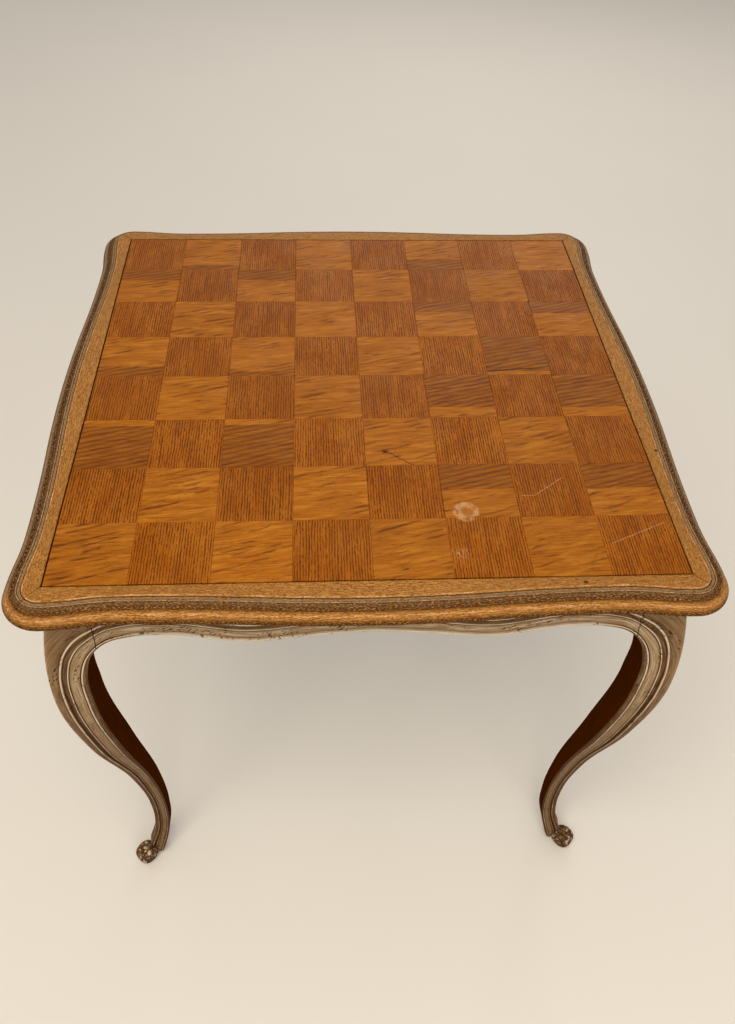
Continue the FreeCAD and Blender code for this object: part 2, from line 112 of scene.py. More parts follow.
# Where the two dark lines run among those rows.
DARK_LINES = (7.7, 21.25)
# Rows over the flat field between the outer bead and the corner: (share of the way, depth, rub).
FIELD_ROWS = ((0.12, 0.6, 0.32), (0.35, 0.4, 0.38), (0.65, 0.3, 0.40), (0.9, 0.2, 0.44))

# The roll is rubbed bare along the front; from here back, in metres, it keeps its grey paint.
PAINTED_FROM = (-0.375, -0.335)
# The edge moulding of the frame: (inset from the outline, level from the top, rub and light, lime).
# Rub and light is how pale the oak is: low values paint shade together with grime under the roll, in the cove
# and in the quirks, and 1 on the ridges is wear together with a painted highlight.
# Lime is how much grey limed paint is left on the oak.
ROLL = ((5.6, -22.1), (2.6, -21.6), (0.7, -19.8), (0.0, -17.0), (0.7, -14.0), (2.3, -11.4), (4.5, -9.4),
        (7.0, -8.1), (9.5, -7.5), (12.0, -7.9))
# How pale the roll is, against the share of the way from its underside up to the cove: 0 low down paints
# shade together with grime, and the peak at 0.70 paints a highlight along the crest, where the oak is also
# rubbed bare.
ROLL_RUB_AND_LIGHT = ((0.0, 0.30, 0.45, 0.58, 0.70, 0.85, 1.0), (0.0, 0.0, 0.18, 0.60, 1.0, 0.5, 0.12))
# Under the roll: rub and light 0 paints shade there, together with grime.
MOULDING_UNDER = (
    (24.0, -26.0, 0.0, 0.0), (12.0, -26.0, 0.0, 0.0), (12.0, -22.1, 0.0, 0.0), (8.0, -22.1, 0.1, 0.0),
)
# From the cove up to the flat band: low rub and light in the cove and the quirks paints shade with grime, and
# 1 on the ridges is wear with a painted highlight.
MOULDING_UPPER = (
    (12.4, -7.9, 0.20, 0.3), (13.4, -7.2, 0.14, 0.4), (15.0, -5.8, 0.16, 0.5), (16.3, -4.2, 0.26, 0.7),
    (17.1, -2.8, 0.20, 0.8), (17.5, -1.9, 0.05, 0.8), (17.7, -1.1, 1.0, 0.8), (18.7, -1.1, 1.0, 0.8),
    (19.0, -2.4, 0.0, 0.3), (19.5, -2.4, 0.0, 0.3), (19.8, -1.5, 0.95, 1.0), (20.7, -1.7, 0.45, 1.0),
    (21.6, -1.7, 0.45, 1.0), (22.4, -1.4, 0.95, 1.0), (22.7, -3.0, 0.0, 0.2), (23.5, -3.0, 0.0, 0.1),
    (23.7, -0.5, 0.8, 0.0), (24.6, 0.0, 1.0, 0.0), (25.6, 0.0, 0.76, 0.0),
)

# Light squares glued up from two strips: (rank, file) to the near strip's share and which is dark.
TWO_STRIP_SQUARES = {
    (8, 2): (0.14, "near"), (8, 6): (0.34, "near"), (7, 1): (0.66, "far"), (7, 3): (0.66, "far"),
    (6, 6): (0.70, "far"), (6, 8): (0.66, "far"), (5, 1): (0.24, "near"), (5, 3): (0.11, "near"),
    (5, 7): (0.09, "far"), (4, 6): (0.24, "far"), (4, 8): (0.22, "far"), (3, 1): (0.87, "near"),
    (3, 3): (0.88, "near"), (2, 6): (0.53, "far"), (2, 8): (0.52, "far"),
}


def to_linear(code):
    """An sRGB hex colour as linear red, green and blue."""
    channels = [int(code[i:i + 2], 16) / 255 for i in (1, 3, 5)]
    return tuple(c / 12.92 if c <= 0.04045 else ((c + 0.055) / 1.055) ** 2.4 for c in channels)


def colour(name, description, code):
    """A colour property with its default as a hex value."""
    return bpy.props.FloatVectorProperty(
        name=name, description=description, subtype="COLOR", size=3, min=0, max=1, default=to_linear(code))


def length(name, description, default):
    """A length property in metres."""
    return bpy.props.FloatProperty(
        name=name, description=description, subtype="DISTANCE", unit="LENGTH", default=default, min=0)


class GamesTableSizes(bpy.types.PropertyGroup):
    """Sizes of the table, with defaults read from the frame."""
    square: length("Square", "Side of one square of the board",
                   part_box("light_squares_rank_1")[1].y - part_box("light_squares_rank_1")[0].y)
    square_thickness: length("Square thickness", "Thickness of the sawn veneer squares",
                             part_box("light_squares_rank_1")[1].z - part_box("light_squares_rank_1")[0].z)
    seam: length("Seam", "Glue line left between two squares", 0.00012)
    square_round: length("Square edge", "Softening of a square's edges", 0.0003)
    top: length("Table height", "Height of the playing face", cad_box[1].z)
    top_thickness: length("Frame thickness", "Thickness of the frame round the board",
                          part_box("top_rail_front")[1].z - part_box("top_rail_front")[0].z)
    bulge: length("Bulge reach", "Reach of a side at its middle", cad_box[1].x)
    hollow: length("Hollow reach", "Reach of a side at its dip", 0.391)
    hollow_at: length("Hollow distance", "Distance of the dip from the middle of a side", 0.268)
    corner_radius: length("Corner radius", "Radius of the rounded corner", 0.045)
    moulding: length("Moulding width", "Width of the moulded edge", 0.024)
    ledge_reach: length("Ledge reach", "Reach of the ledge that the board rests on",
                        -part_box("top_rail_front")[1].y)
    ledge_level: length("Ledge height", "Height of the ledge's top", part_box("board_core")[0].z)
    rebate_reach: length("Rebate reach", "Reach of the frame's inner edge", 0.3538)
    mitre_gap: length("Mitre gap", "Open joint at a mitre", 0.0005)
    apron_inside: length("Apron reach", "Reach of the aprons' inner faces", 0.340)
    joint_gap: length("Joint gap", "Open joint between an apron and a leg", 0.001)
    toe_reach: length("Toe reach", "Reach of the rolled toe's centre", 0.353)
    toe_radius: length("Toe radius", "Radius of the rolled toe", 0.017)
    toe_width: length("Toe width", "Width of the rolled toe", 0.027)


class GamesTableColours(bpy.types.PropertyGroup):
    """Colours of the table's finishes."""
    golden: colour("Golden oak", "Light squares", "#AB6616")
    golden_pale: colour("Pale golden oak", "Bright streaks in the light squares", "#C07C28")
    golden_deep: colour("Golden oak streaks", "Darker growth in the light squares", "#844709")
    heartwood: colour("Heartwood", "Smoky figure in the light squares", "#55270A")
    brown: colour("Brown oak", "Dark squares between the pores", "#9C5406")
    brown_pores: colour("Brown oak pores", "Open pores of the dark squares", "#5A2904")
    rail: colour("Rail oak", "Waxed oak of the frame", "#BE8440")
    rail_deep: colour("Rail oak streaks", "Darker growth in the frame", "#8C5A24")
    # Painted highlight: besides the pale of rubbed ridges, this colour stands for the sheen along the roll's
    # crest.
    rail_rubbed_and_highlight: colour("Rubbed and highlit oak", "Frame rubbed pale on its nose and ridges", "#EBB680")
    # Besides wax and dirt, this colour paints the shade under the frame's roll, in its cove and in its
    # quirks.
    grime_and_shade: colour("Grime and shade", "Wax and dirt in hollows and pores", "#331902")
    lime: colour("Lime", "Grey limed paint left on the frame", "#9A8161")
    paint: colour("Paint", "Grey-beige paint on legs and aprons", "#8F7352")
    paint_pale: colour("Pale paint", "Paint rubbed pale on beads and ridges", "#CBB9A0")
    paint_dark: colour("Dark paint", "Brown glaze in grooves and lines", "#452505")
    bare: colour("Bare oak", "Unpainted inner faces of legs and aprons", "#451B00")
    beech: colour("Beech", "Corner braces", "#A8754A")
    birch: colour("Birch ply", "Plywood core and splines", "#BE9660")
    steel: colour("Steel", "Screws", "#8C8983")
    baize: colour("Baize", "Cloth under the board", "#1F5132")
    floor: colour("Floor", "Plain floor", "#E4DED5")


def sizes():
    return bpy.context.scene.games_table_sizes


def colours():
    return bpy.context.scene.games_table_colours


# ---------------------------------------------------------------- node materials

COLOUR_MIX = {"data_type": "RGBA"}
COLOUR_TIMES = {"data_type": "RGBA", "blend_type": "MULTIPLY"}
SMOOTH = {"interpolation_type": "SMOOTHSTEP"}
PLUS = {"operation": "ADD"}
CAPPED_PLUS = {"operation": "ADD", "use_clamp": True}
TIMES = {"operation": "MULTIPLY"}
TIMES_PLUS = {"operation": "MULTIPLY_ADD"}
CAPPED_TIMES_PLUS = {"operation": "MULTIPLY_ADD", "use_clamp": True}
MAGNITUDE = {"operation": "ABSOLUTE"}
# A Mapping node set like this says where a pattern lies, how it is turned and how far it is stretched.
LAID = {"vector_type": "TEXTURE"}
# The scale at which a wave's bands lie one metre apart.
BAND_SCALE = math.pi / 10
# An old coat of varnish, wax or paint: little gloss is left and what there is has yellowed.
OLD_COAT = {"Specular IOR Level": 0.11, "Specular Tint": (1.0, 0.72, 0.42)}
CRACK_BLACK = (0.012, 0.006, 0.003)


def feed(tree, socket, value):
    """Links a socket to another socket or to a node's first output in use, or gives it a value."""
    if isinstance(value, bpy.types.Node):
        value = next(output for output in value.outputs if output.enabled)
    if isinstance(value, bpy.types.NodeSocket):
        tree.links.new(value, socket)
    elif socket.type == "RGBA":
        socket.default_value = (*value[:3], 1.0)
    else:
        socket.default_value = value


def add(tree, kind, settings=None, inputs=None):
    """Adds one shader node with its settings; an input is a value, a socket or another node."""
    node = tree.nodes.new("ShaderNode" + kind)
    for name, value in (settings or {}).items():
        setattr(node, name, value)
    for name, value in (inputs or {}).items():
        feed(tree, node.inputs[name], value)
    return node


def begin(name):
    """A new material, its node tree and its Object coordinates."""
    material = bpy.data.materials.new(name)
    material.use_nodes = True
    tree = material.node_tree
    return material, tree, add(tree, "TexCoord").outputs["Object"]


def finish(material, base, roughness, height=None, relief=0.0, settings=None):
    """Feeds the patterns to the shader; relief is the bump's height in metres, below 0 if sunk."""
    tree = material.node_tree
    shader = tree.nodes["Principled BSDF"]
    values = {"Base Color": base, "Roughness": roughness, **(settings or {})}
    if height is not None:
        values["Normal"] = add(tree, "Bump", {"invert": relief < 0}, {
            "Strength": 1.0, "Distance": abs(relief), "Height": height})
    for name, value in values.items():
        feed(tree, shader.inputs[name], value)
    return material


def grain(tree, place, spacing, edges, detail=4.0, distortion=0.0, turn=0.0):
    """Noise stretched to a grain and then turned; spacing is its marks' size on X, Y and Z in millimetres.

    Edges are the noise values that become 0 and 1."""
    seat = add(tree, "Mapping", LAID, {
        "Vector": place, "Scale": [s * MM for s in spacing], "Rotation": (0, 0, turn)})
    noise = add(tree, "TexNoise", None, {
        "Vector": seat, "Scale": 1.0, "Detail": detail, "Distortion": distortion})
    return add(tree, "MapRange", SMOOTH, {"Value": noise, "From Min": edges[0], "From Max": edges[1]})


def stain(tree, base, tint, share, *masks):
    """The base stained with a tint: as strongly as its share, and only where every mask is 1."""
    for mask in masks:
        share = add(tree, "Math", TIMES, {0: mask, 1: share})
    return add(tree, "Mix", COLOUR_MIX, {"Factor": share, 6: base, 7: tint})


def cut_place(tree, place):
    """Object coordinates shifted by each square's own cut, so that no two squares share their grain."""
    cut = add(tree, "Attribute", {"attribute_name": "cut"}).outputs["Fac"]
    shift = add(tree, "VectorMath", {"operation": "SCALE"}, {0: (3.7, 1.9, 2.3), "Scale": cut})
    return add(tree, "VectorMath", PLUS, {0: place, 1: shift})


def line_mark(tree, place, start, end, width, ragged=0.0):
    """A mask that is 1 along a straight mark on the board, from start to end in millimetres."""
    if ragged:
        wander = add(tree, "TexNoise", None, {"Vector": place, "Scale": 160.0, "Detail": 2.0})
        centred = add(tree, "VectorMath", {"operation": "SUBTRACT"}, {
            0: wander.outputs["Color"], 1: (0.5, 0.5, 0.5)})
        bent = add(tree, "VectorMath", {"operation": "SCALE"}, {0: centred, "Scale": ragged * MM})
        place = add(tree, "VectorMath", PLUS, {0: place, 1: bent})
    run = Vector((end[0] - start[0], end[1] - start[1], 0)) * MM
    seat = add(tree, "Mapping", LAID, {
        "Vector": place, "Location": (start[0] * MM, start[1] * MM, sizes().top),
        "Rotation": (0, 0, math.atan2(run.y, run.x))})
    parts = add(tree, "SeparateXYZ", None, {0: seat})
    middle = add(tree, "Math", {"operation": "SUBTRACT"}, {0: parts.outputs["X"], 1: run.length / 2})
    along = add(tree, "Math", MAGNITUDE, {0: middle})
    inside = add(tree, "MapRange", SMOOTH, {
        "Value": along, "From Min": run.length * 0.5, "From Max": run.length * 0.42})
    across = add(tree, "Math", MAGNITUDE, {0: parts.outputs["Y"]})
    thin = add(tree, "MapRange", SMOOTH, {
        "Value": across, "From Min": width * MM, "From Max": width * MM * 0.3})
    return add(tree, "Math", TIMES, {0: inside, 1: thin})


def spot_mark(tree, place, centre, radius, soft, stretch=1.0):
    """A mask that is 1 inside a spot on the board; soft is the width of its edge in millimetres."""
    seat = add(tree, "Mapping", None, {
        "Vector": place, "Location": (-centre[0] * MM / stretch, -centre[1] * MM, -sizes().top),
        "Scale": (1 / stretch, 1, 1)})
    reach = add(tree, "VectorMath", {"operation": "LENGTH"}, {0: seat}).outputs["Value"]
    return add(tree, "MapRange", SMOOTH, {
        "Value": reach, "From Min": (radius + soft) * MM, "From Max": radius * MM})


# Marks of use on the board, in millimetres from its middle: lines as (start, end).
CRACK = ((172, 6.5), (243, 13.5))
KNOT = (24.9, -151.6)
KNOT_CRACK = ((21, -147.5), (61, -178))
# The ring that a wet glass left: (centre, radius, width).
RING = ((113, -254.5), 13.0, 4.0)
SMUDGE = (99, -317)
SCRATCHES = (((183, -230), (199, -230.3)), ((198, -230.5), (239, -199.5)), ((271, -308), (347, -274.5)))
PALE_MARK = "#D9B68A"
WORN_VARNISH = "#8A5018"
# Knots in the frame's flat band.
RAIL_KNOTS = ((231, -361.5), (367.5, -155))


def board_marks(tree, place, base):
    """The stains and scratches of use that run over light and dark squares alike."""
    centre, radius, width = RING
    disc = spot_mark(tree, place, centre, radius, width)
    hole = spot_mark(tree, place, (centre[0] + 2, centre[1] - 1), radius - 2 * width, width)
    ring = add(tree, "Math", CAPPED_TIMES_PLUS, {0: hole, 1: -0.75, 2: disc})
    patchy = grain(tree, place, (8, 8, 8), (0.30, 0.62), detail=5.0)
    pale = to_linear(PALE_MARK)
    base = stain(tree, base, pale, 0.46, ring, patchy)
    for mark in SCRATCHES:
        base = stain(tree, base, pale, 0.3, line_mark(tree, place, *mark, 0.8, ragged=2.0))
    flecked = grain(tree, place, (2.2, 5, 5), (0.5, 0.62))
    base = stain(tree, base, pale, 0.4, spot_mark(tree, place, SMUDGE, 2.0, 9.0, 1.3), flecked)
    worn = grain(tree, place, (160, 160, 160), (0.35, 0.7), detail=3.0)
    return stain(tree, base, to_linear(WORN_VARNISH), 0.2, worn)


def varnish_roughness(tree, place, level):
    """Old satin varnish: duller in patches the size of a hand."""
    patches = grain(tree, place, (55, 55, 55), (0.3, 0.7))
    return add(tree, "MapRange", None, {"Value": patches, "To Min": level, "To Max": level + 0.16})


def golden_oak():
    """Flat-sawn oak under old satin varnish: honey ground, bright and smoky streaks rising to the right."""
    material, tree, board = begin("golden_oak_flat_sawn_varnished")
    shades = colours()
    place = cut_place(tree, board)
    tone = add(tree, "Attribute", {"attribute_name": "tone"}).outputs["Fac"]
    streaks = grain(tree, place, (36, 1.3, 36), (0.30, 0.74), detail=10.0, distortion=0.5, turn=0.05)
    base = stain(tree, shades.golden, shades.golden_deep, 1.0, streaks)
    bright = grain(tree, place, (48, 7, 48), (0.44, 0.72), detail=10.0, distortion=0.8, turn=0.12)
    base = stain(tree, base, shades.golden_pale, 0.6, bright)
    # Growth lines about 8 mm apart that wander, and show only where the heartwood is smoky.
    leaned = add(tree, "Mapping", LAID, {"Vector": place, "Scale": (3.2, 1.0, 1.0), "Rotation": (0, 0, 0.3)})
    waves = add(tree, "TexWave", {"wave_type": "BANDS", "bands_direction": "Y"}, {
        "Vector": leaned, "Scale": BAND_SCALE / (8.0 * MM), "Distortion": 9.0, "Detail": 6.0,
        "Detail Scale": 0.4, "Detail Roughness": 0.62})
    lines = add(tree, "MapRange", SMOOTH, {"Value": waves.outputs["Fac"], "From Min": 0.55, "From Max": 1.0})
    clouds = grain(tree, place, (44, 16, 44), (0.48, 0.66), detail=3.0, distortion=0.8, turn=0.3)
    smoke = grain(tree, place, (38, 6, 38), (0.40, 0.72), detail=9.0, distortion=1.0, turn=0.28)
    haze = add(tree, "Math", TIMES, {0: smoke, 1: 0.34})
    figure = add(tree, "Math", TIMES_PLUS, {0: lines, 1: 0.62, 2: haze})
    base = stain(tree, base, shades.heartwood, 1.0, figure, clouds)
    # Strips cut from the heart are smoky all over.
    heart = add(tree, "Math", TIMES_PLUS, {0: figure, 1: 0.7, 2: 0.55})
    base = stain(tree, base, shades.heartwood, 1.0, tone, heart)
    dashes = grain(tree, place, (5, 0.6, 5), (0.56, 0.68), detail=5.0, turn=0.05)
    base = stain(tree, base, shades.heartwood, 0.42, dashes)
    base = stain(tree, base, shades.grime_and_shade, 1.0, spot_mark(tree, board, KNOT, 1.2, 3.0, 1.4))
    crack = line_mark(tree, board, *CRACK, 1.5, ragged=3.0)
    knot_crack = line_mark(tree, board, *KNOT_CRACK, 0.7, ragged=4.0)
    cracks = add(tree, "Math", {"operation": "MAXIMUM"}, {0: crack, 1: knot_crack})
    base = stain(tree, base, CRACK_BLACK, 1.0, cracks)
    base = board_marks(tree, board, base)
    height = add(tree, "Math", TIMES_PLUS, {0: cracks, 1: 6.0, 2: dashes})
    return finish(material, base, varnish_roughness(tree, board, 0.34), height, -0.00008, OLD_COAT)


def brown_oak():
    """Open-grained brown oak, varnished: thin, wavy, broken dark pore lines front to back, about 3 mm apart.

    The lines are drawn coarser than the real pores so that they show."""
    material, tree, board = begin("brown_oak_open_pore_varnished")
    shades = colours()
    place = cut_place(tree, board)
    tone = add(tree, "Attribute", {"attribute_name": "tone"}).outputs["Fac"]
    squeezed = add(tree, "Mapping", None, {"Vector": place, "Scale": (1.0, 0.18, 1.0)})
    waves = add(tree, "TexWave", {"wave_type": "BANDS", "bands_direction": "X"}, {
        "Vector": squeezed, "Scale": BAND_SCALE / (3.2 * MM), "Distortion": 7.0, "Detail": 8.0,
        "Detail Scale": 0.8, "Detail Roughness": 0.8})
    vessels = grain(tree, place, (1.0, 7, 7), (0.34, 0.66), detail=5.0, distortion=0.6)
    wide = grain(tree, place, (5.5, 60, 60), (0.30, 0.70), detail=3.0, distortion=0.3)
    broken = add(tree, "Math", TIMES_PLUS, {0: vessels, 1: 0.55, 2: waves.outputs["Fac"]})
    uneven = add(tree, "Math", TIMES_PLUS, {0: wide, 1: 0.5, 2: broken})
    lines = add(tree, "MapRange", SMOOTH, {"Value": uneven, "From Min": 1.06, "From Max": 1.36})
    fine = grain(tree, place, (0.9, 16, 16), (0.36, 0.64), detail=6.0)
    base = stain(tree, shades.brown, shades.brown_pores, 0.4, fine)
    clouds = grain(tree, place, (26, 60, 26), (0.35, 0.7), detail=3.0)
    base = stain(tree, base, shades.golden_pale, 0.28, clouds)
    pores = add(tree, "Math", TIMES, {0: lines, 1: 0.92})
    base = stain(tree, base, shades.brown_pores, 1.0, pores)
    base = stain(tree, base, shades.brown_pores, 0.8, tone)
    base = board_marks(tree, board, base)
    return finish(material, base, varnish_roughness(tree, board, 0.36), pores, -0.00008, OLD_COAT)


def moulding_coordinates(tree):
    """Coordinates that follow a moulding, in metres along it and across its section, and how it is rubbed and
    lit; on the frame the last also paints highlight and shade.
    """
    run, across, rub = (
        add(tree, "Attribute", {"attribute_name": name}).outputs["Fac"] for name in ("run", "across", "rub"))
    return add(tree, "CombineXYZ", None, {0: run, 1: across}), rub


def rail_oak():
    """Waxed oak with its lime and paint worn away: gold on ridges and a painted highlight on the roll's
    crest; dark and speckled in hollows and pores, grime with painted shade.
    """
    material, tree, board = begin("rail_oak_waxed_over_worn_lime")
    shades = colours()
    place, rub = moulding_coordinates(tree)
    lime = add(tree, "Attribute", {"attribute_name": "lime"}).outputs["Fac"]
    streaks = grain(tree, place, (12, 1.1, 12), (0.36, 0.66), detail=10.0, distortion=0.4)
    base = stain(tree, shades.rail, shades.rail_deep, 1.0, streaks)
    patches = grain(tree, place, (22, 2.0, 22), (0.36, 0.66), detail=6.0)
    # Painted highlight with wear: where rub and light is high, on the roll's crest and the ridges, the oak is
    # painted pale.
    bright = add(tree, "MapRange", SMOOTH, {"Value": rub, "From Min": 0.72, "From Max": 1.0, "To Max": 0.85})
    base = stain(tree, base, shades.rail_rubbed_and_highlight, 1.0, bright, patches)
    flakes = grain(tree, place, (12, 1.2, 12), (0.30, 0.56), detail=7.0)
    base = stain(tree, base, shades.lime, 1.0, lime, flakes)
    # Painted shade with grime: rows with low rub and light, under the roll, in the cove and in the quirks,
    # are darkened in specks with the grime colour.
    shadowed = add(tree, "MapRange", SMOOTH, {"Value": rub, "From Min": 0.70, "From Max": 0.0})
    specks = grain(tree, place, (3.0, 1.1, 3.0), (0.43, 0.55), detail=4.0)
    smears = grain(tree, place, (40, 3.0, 40), (0.3, 0.62), detail=5.0)
    spotted = add(tree, "Math", TIMES_PLUS, {0: specks, 1: 0.9, 2: 0.22})
    speckled_cover = add(tree, "Math", CAPPED_TIMES_PLUS, {0: smears, 1: 0.25, 2: spotted})
    dirt_and_shade = add(tree, "Math", TIMES, {0: shadowed, 1: speckled_cover})
    base = stain(tree, base, shades.grime_and_shade, 1.0, dirt_and_shade)
    pores = grain(tree, place, (3.8, 1.1, 3.8), (0.48, 0.62), detail=3.0)
    dense = grain(tree, place, (60, 12, 60), (0.25, 0.70), detail=3.0)
    thick = add(tree, "MapRange", None, {"Value": dense, "To Min": 0.3, "To Max": 0.72})
    base = stain(tree, base, shades.heartwood, 1.0, pores, thick)
    for centre in RAIL_KNOTS:
        base = stain(tree, base, shades.grime_and_shade, 0.9, spot_mark(tree, board, centre, 1.0, 1.8, 1.3))
    rough = add(tree, "MapRange", None, {"Value": dirt_and_shade, "To Min": 0.32, "To Max": 0.7})
    height = add(tree, "Math", PLUS, {0: specks, 1: pores})
    return finish(material, base, rough, height, -0.00025, OLD_COAT)


def limed_paint():
    """Grey-beige paint brushed on oak and rubbed back: pale beads, dark grooves, nicks, browner low down."""
    material, tree, table = begin("grey_limed_paint_brushed_and_rubbed")
    shades = colours()
    place, rub = moulding_coordinates(tree)
    wander = grain(tree, place, (26, 2.5, 26), (0.3, 0.7), detail=8.0)
    uneven = add(tree, "MapRange", None, {"Value": wander, "To Min": -0.13, "To Max": 0.13})
    level = add(tree, "SeparateXYZ", None, {0: table}).outputs["Z"]
    # Darker towards the bottom: from 0.64 m down to 0.25 m the paint turns browner and its wear is lowered.
    darker_low_down = add(tree, "MapRange", SMOOTH, {"Value": level, "From Min": 0.64, "From Max": 0.25})
    low_and_uneven = add(tree, "Math", TIMES_PLUS, {0: darker_low_down, 1: -0.2, 2: uneven})
    worn = add(tree, "Math", CAPPED_PLUS, {0: rub, 1: low_and_uneven})
    low = add(tree, "MapRange", SMOOTH, {"Value": worn, "From Min": 0.0, "From Max": 0.62})
    high = add(tree, "MapRange", SMOOTH, {"Value": worn, "From Min": 0.60, "From Max": 1.0})
    base = stain(tree, shades.paint_dark, shades.paint, 1.0, low)
    base = stain(tree, base, shades.paint_pale, 1.0, high)
    streaks = grain(tree, place, (24, 0.8, 24), (0.46, 0.72), detail=6.0)
    base = stain(tree, base, shades.paint_dark, 0.3, streaks)
    base = stain(tree, base, shades.paint_dark, 0.34, darker_low_down)
    # The toes are kicked and scuffed: dirt stays in blotches and bare high spots shine between them.
    kicked = add(tree, "Attribute", {"attribute_name": "lime"}).outputs["Fac"]
    blotches = grain(tree, table, (7, 7, 4), (0.42, 0.54), detail=6.0)
    base = stain(tree, base, shades.grime_and_shade, 0.72, blotches, kicked)
    scuffs = grain(tree, table, (6, 6, 5), (0.56, 0.63), detail=5.0, turn=0.4)
    base = stain(tree, base, shades.paint_pale, 0.9, scuffs, kicked)
    nicks = grain(tree, place, (6.0, 1.8, 6.0), (0.57, 0.62), detail=3.0, turn=0.6)
    few = grain(tree, place, (50, 16, 50), (0.46, 0.58), detail=2.0)
    chips = add(tree, "Math", TIMES, {0: nicks, 1: few})
    base = stain(tree, base, shades.grime_and_shade, 1.0, chips)
    rough = add(tree, "MapRange", None, {"Value": wander, "To Min": 0.42, "To Max": 0.62})
    height = add(tree, "Math", TIMES_PLUS, {0: chips, 1: 3.0, 2: streaks})
    return finish(material, base, rough, height, -0.00012, OLD_COAT)


def painted_finishes():
    """The paint of the outer faces and the bare oak of the inner ones, which legs and aprons share."""
    made = bpy.data.materials
    return [made.get("grey_limed_paint_brushed_and_rubbed") or limed_paint(),
            made.get("bare_oak_scraped_and_aged") or bare_oak()]


def plain_wood(name, shade, dark, spacing, rough):
    """Sawn wood with fine streaks; spacing is the streaks' size along X, Y and Z in millimetres."""
    material, tree, place = begin(name)
    streaks = grain(tree, place, spacing, (0.3, 0.72), detail=6.0, distortion=0.5)
    base = stain(tree, shade, dark, 1.0, streaks)
    pores = grain(tree, place, [s / 4 for s in spacing], (0.6, 0.7), detail=2.0)
    base = stain(tree, base, colours().grime_and_shade, 0.5, pores)
    level = add(tree, "MapRange", None, {"Value": streaks, "To Min": rough, "To Max": rough + 0.12})
    return finish(material, base, level, streaks, 0.00015, {"Specular IOR Level": 0.0})


def bare_oak():
    """Unpainted oak, scraped smooth and dark with age: brown, with faint upright streaks."""
    shades = colours()
    return plain_wood("bare_oak_scraped_and_aged", shades.bare, shades.grime_and_shade, (3, 3, 60), 0.75)


def beech():
    """Planed beech, unfinished: pinkish tan with short fine flecks."""
    shades = colours()
    return plain_wood("beech_planed_bare", shades.beech, shades.rail_deep, (12, 12, 1.5), 0.62)


def lipping_oak():
    """Sawn oak strip, varnished with the board: golden with fine lengthwise streaks."""
    shades = colours()
    return plain_wood("lipping_oak_varnished", shades.rail, shades.rail_deep, (20, 20, 1.2), 0.42)


def birch_ply():
    """Rotary-cut birch plywood: pale, with thin darker plies at the edge."""
    material, tree, place = begin("birch_plywood_sanded")
    shades = colours()
    ply = 1.4
    layers = add(tree, "TexWave", {"bands_direction": "Z"}, {
        "Vector": place, "Scale": BAND_SCALE / (2 * ply * MM), "Distortion": 0.2, "Detail Scale": 0.2})
    streaks = grain(tree, place, (30, 5, 5), (0.35, 0.7), detail=5.0, distortion=0.7)
    base = stain(tree, shades.birch, shades.rail_deep, 1.0, streaks, layers.outputs["Fac"])
    return finish(material, base, 0.6, streaks, 0.0001)


def steel():
    """Drawn mild-steel screws, dulled: grey with fine turning marks and a little brown tarnish."""
    material, tree, place = begin("mild_steel_drawn_dulled")
    shades = colours()
    marks = grain(tree, place, (2, 2, 0.3), (0.3, 0.7), detail=3.0)
    tarnish = grain(tree, place, (6, 6, 6), (0.5, 0.7), detail=4.0)
    base = stain(tree, shades.steel, shades.rail_deep, 1.0, tarnish, marks)
    rough = add(tree, "MapRange", None, {"Value": marks, "To Min": 0.32, "To Max": 0.5})
    return finish(material, base, rough, marks, 0.00003, {"Metallic": 0.85})


def wool_baize():
    """Felted wool baize: matt green with a short nap, drawn at a 2 mm tuft so that it shows."""
    material, tree, place = begin("wool_baize_felted")
    shades = colours()
    nap = grain(tree, place, (2, 2, 2), (0.3, 0.7), detail=8.0)
    clouds = grain(tree, place, (80, 80, 80), (0.3, 0.8), detail=3.0)
    base = add(tree, "Mix", COLOUR_TIMES, {"Factor": nap, 6: shades.baize, 7: (0.5, 0.55, 0.5)})
    base = stain(tree, base, shades.grime_and_shade, 0.4, clouds)
    return finish(material, base, 0.95, nap, 0.0004, {"Sheen Weight": 0.4, "Sheen Roughness": 0.5})


FLOOR_SHADE = "#CFC7BB"


def floor_finish():
    """Matt painted floor: plain and pale, with the faintest unevenness."""
    material, tree, place = begin("floor_matt_paint")
    uneven = grain(tree, place, (400, 400, 400), (0.3, 0.7), detail=2.0)
    base = stain(tree, colours().floor, to_linear(FLOOR_SHADE), 0.05, uneven)
    return finish(material, base, 0.7)


# ---------------------------------------------------------------- mesh helpers

PAINTED = ("rub", "lime", "run", "across")


def section_mesh():
    """An empty mesh whose vertices carry their row number and the painted attributes."""
    bm = bmesh.new()
    bm.verts.layers.int.new("row")
    for name in PAINTED:
        bm.verts.layers.float.new(name)
    return bm


def dress(bm, vertex, seat, **values):
    """Puts a vertex in its seat and writes its painted attributes."""
    vertex.co = seat
    for name, value in values.items():
        vertex[bm.verts.layers.float[name]] = value


def run_section(bm, count, stations, seat):
    """Extrudes a closed ring of count rows from station to station; seat(vertex, row, station) places it.

    Returns the first ring's edges and the last ring's."""
    number = bm.verts.layers.int["row"]
    ring = [bm.verts.new() for _ in range(count)]
    for row, vertex in enumerate(ring):
        vertex[number] = row
        seat(vertex, row, stations[0])
    edges = [bm.edges.new(pair) for pair in zip(ring, ring[1:] + ring[:1])]
    first = list(edges)
    for station in stations[1:]:
        made = bmesh.ops.extrude_edge_only(bm, edges=edges)["geom"]
        fresh = {v for v in made if isinstance(v, bmesh.types.BMVert)}
        edges = [e for e in made if isinstance(e, bmesh.types.BMEdge) and set(e.verts) <= fresh]
        for vertex in fresh:
            seat(vertex, vertex[number], station)
    return first, edges


def show(name, data):
    """A new object in the scene that shows a mesh, a light or a camera."""
    shown = bpy.data.objects.new(name, data)
    bpy.context.scene.collection.objects.link(shown)
    return shown


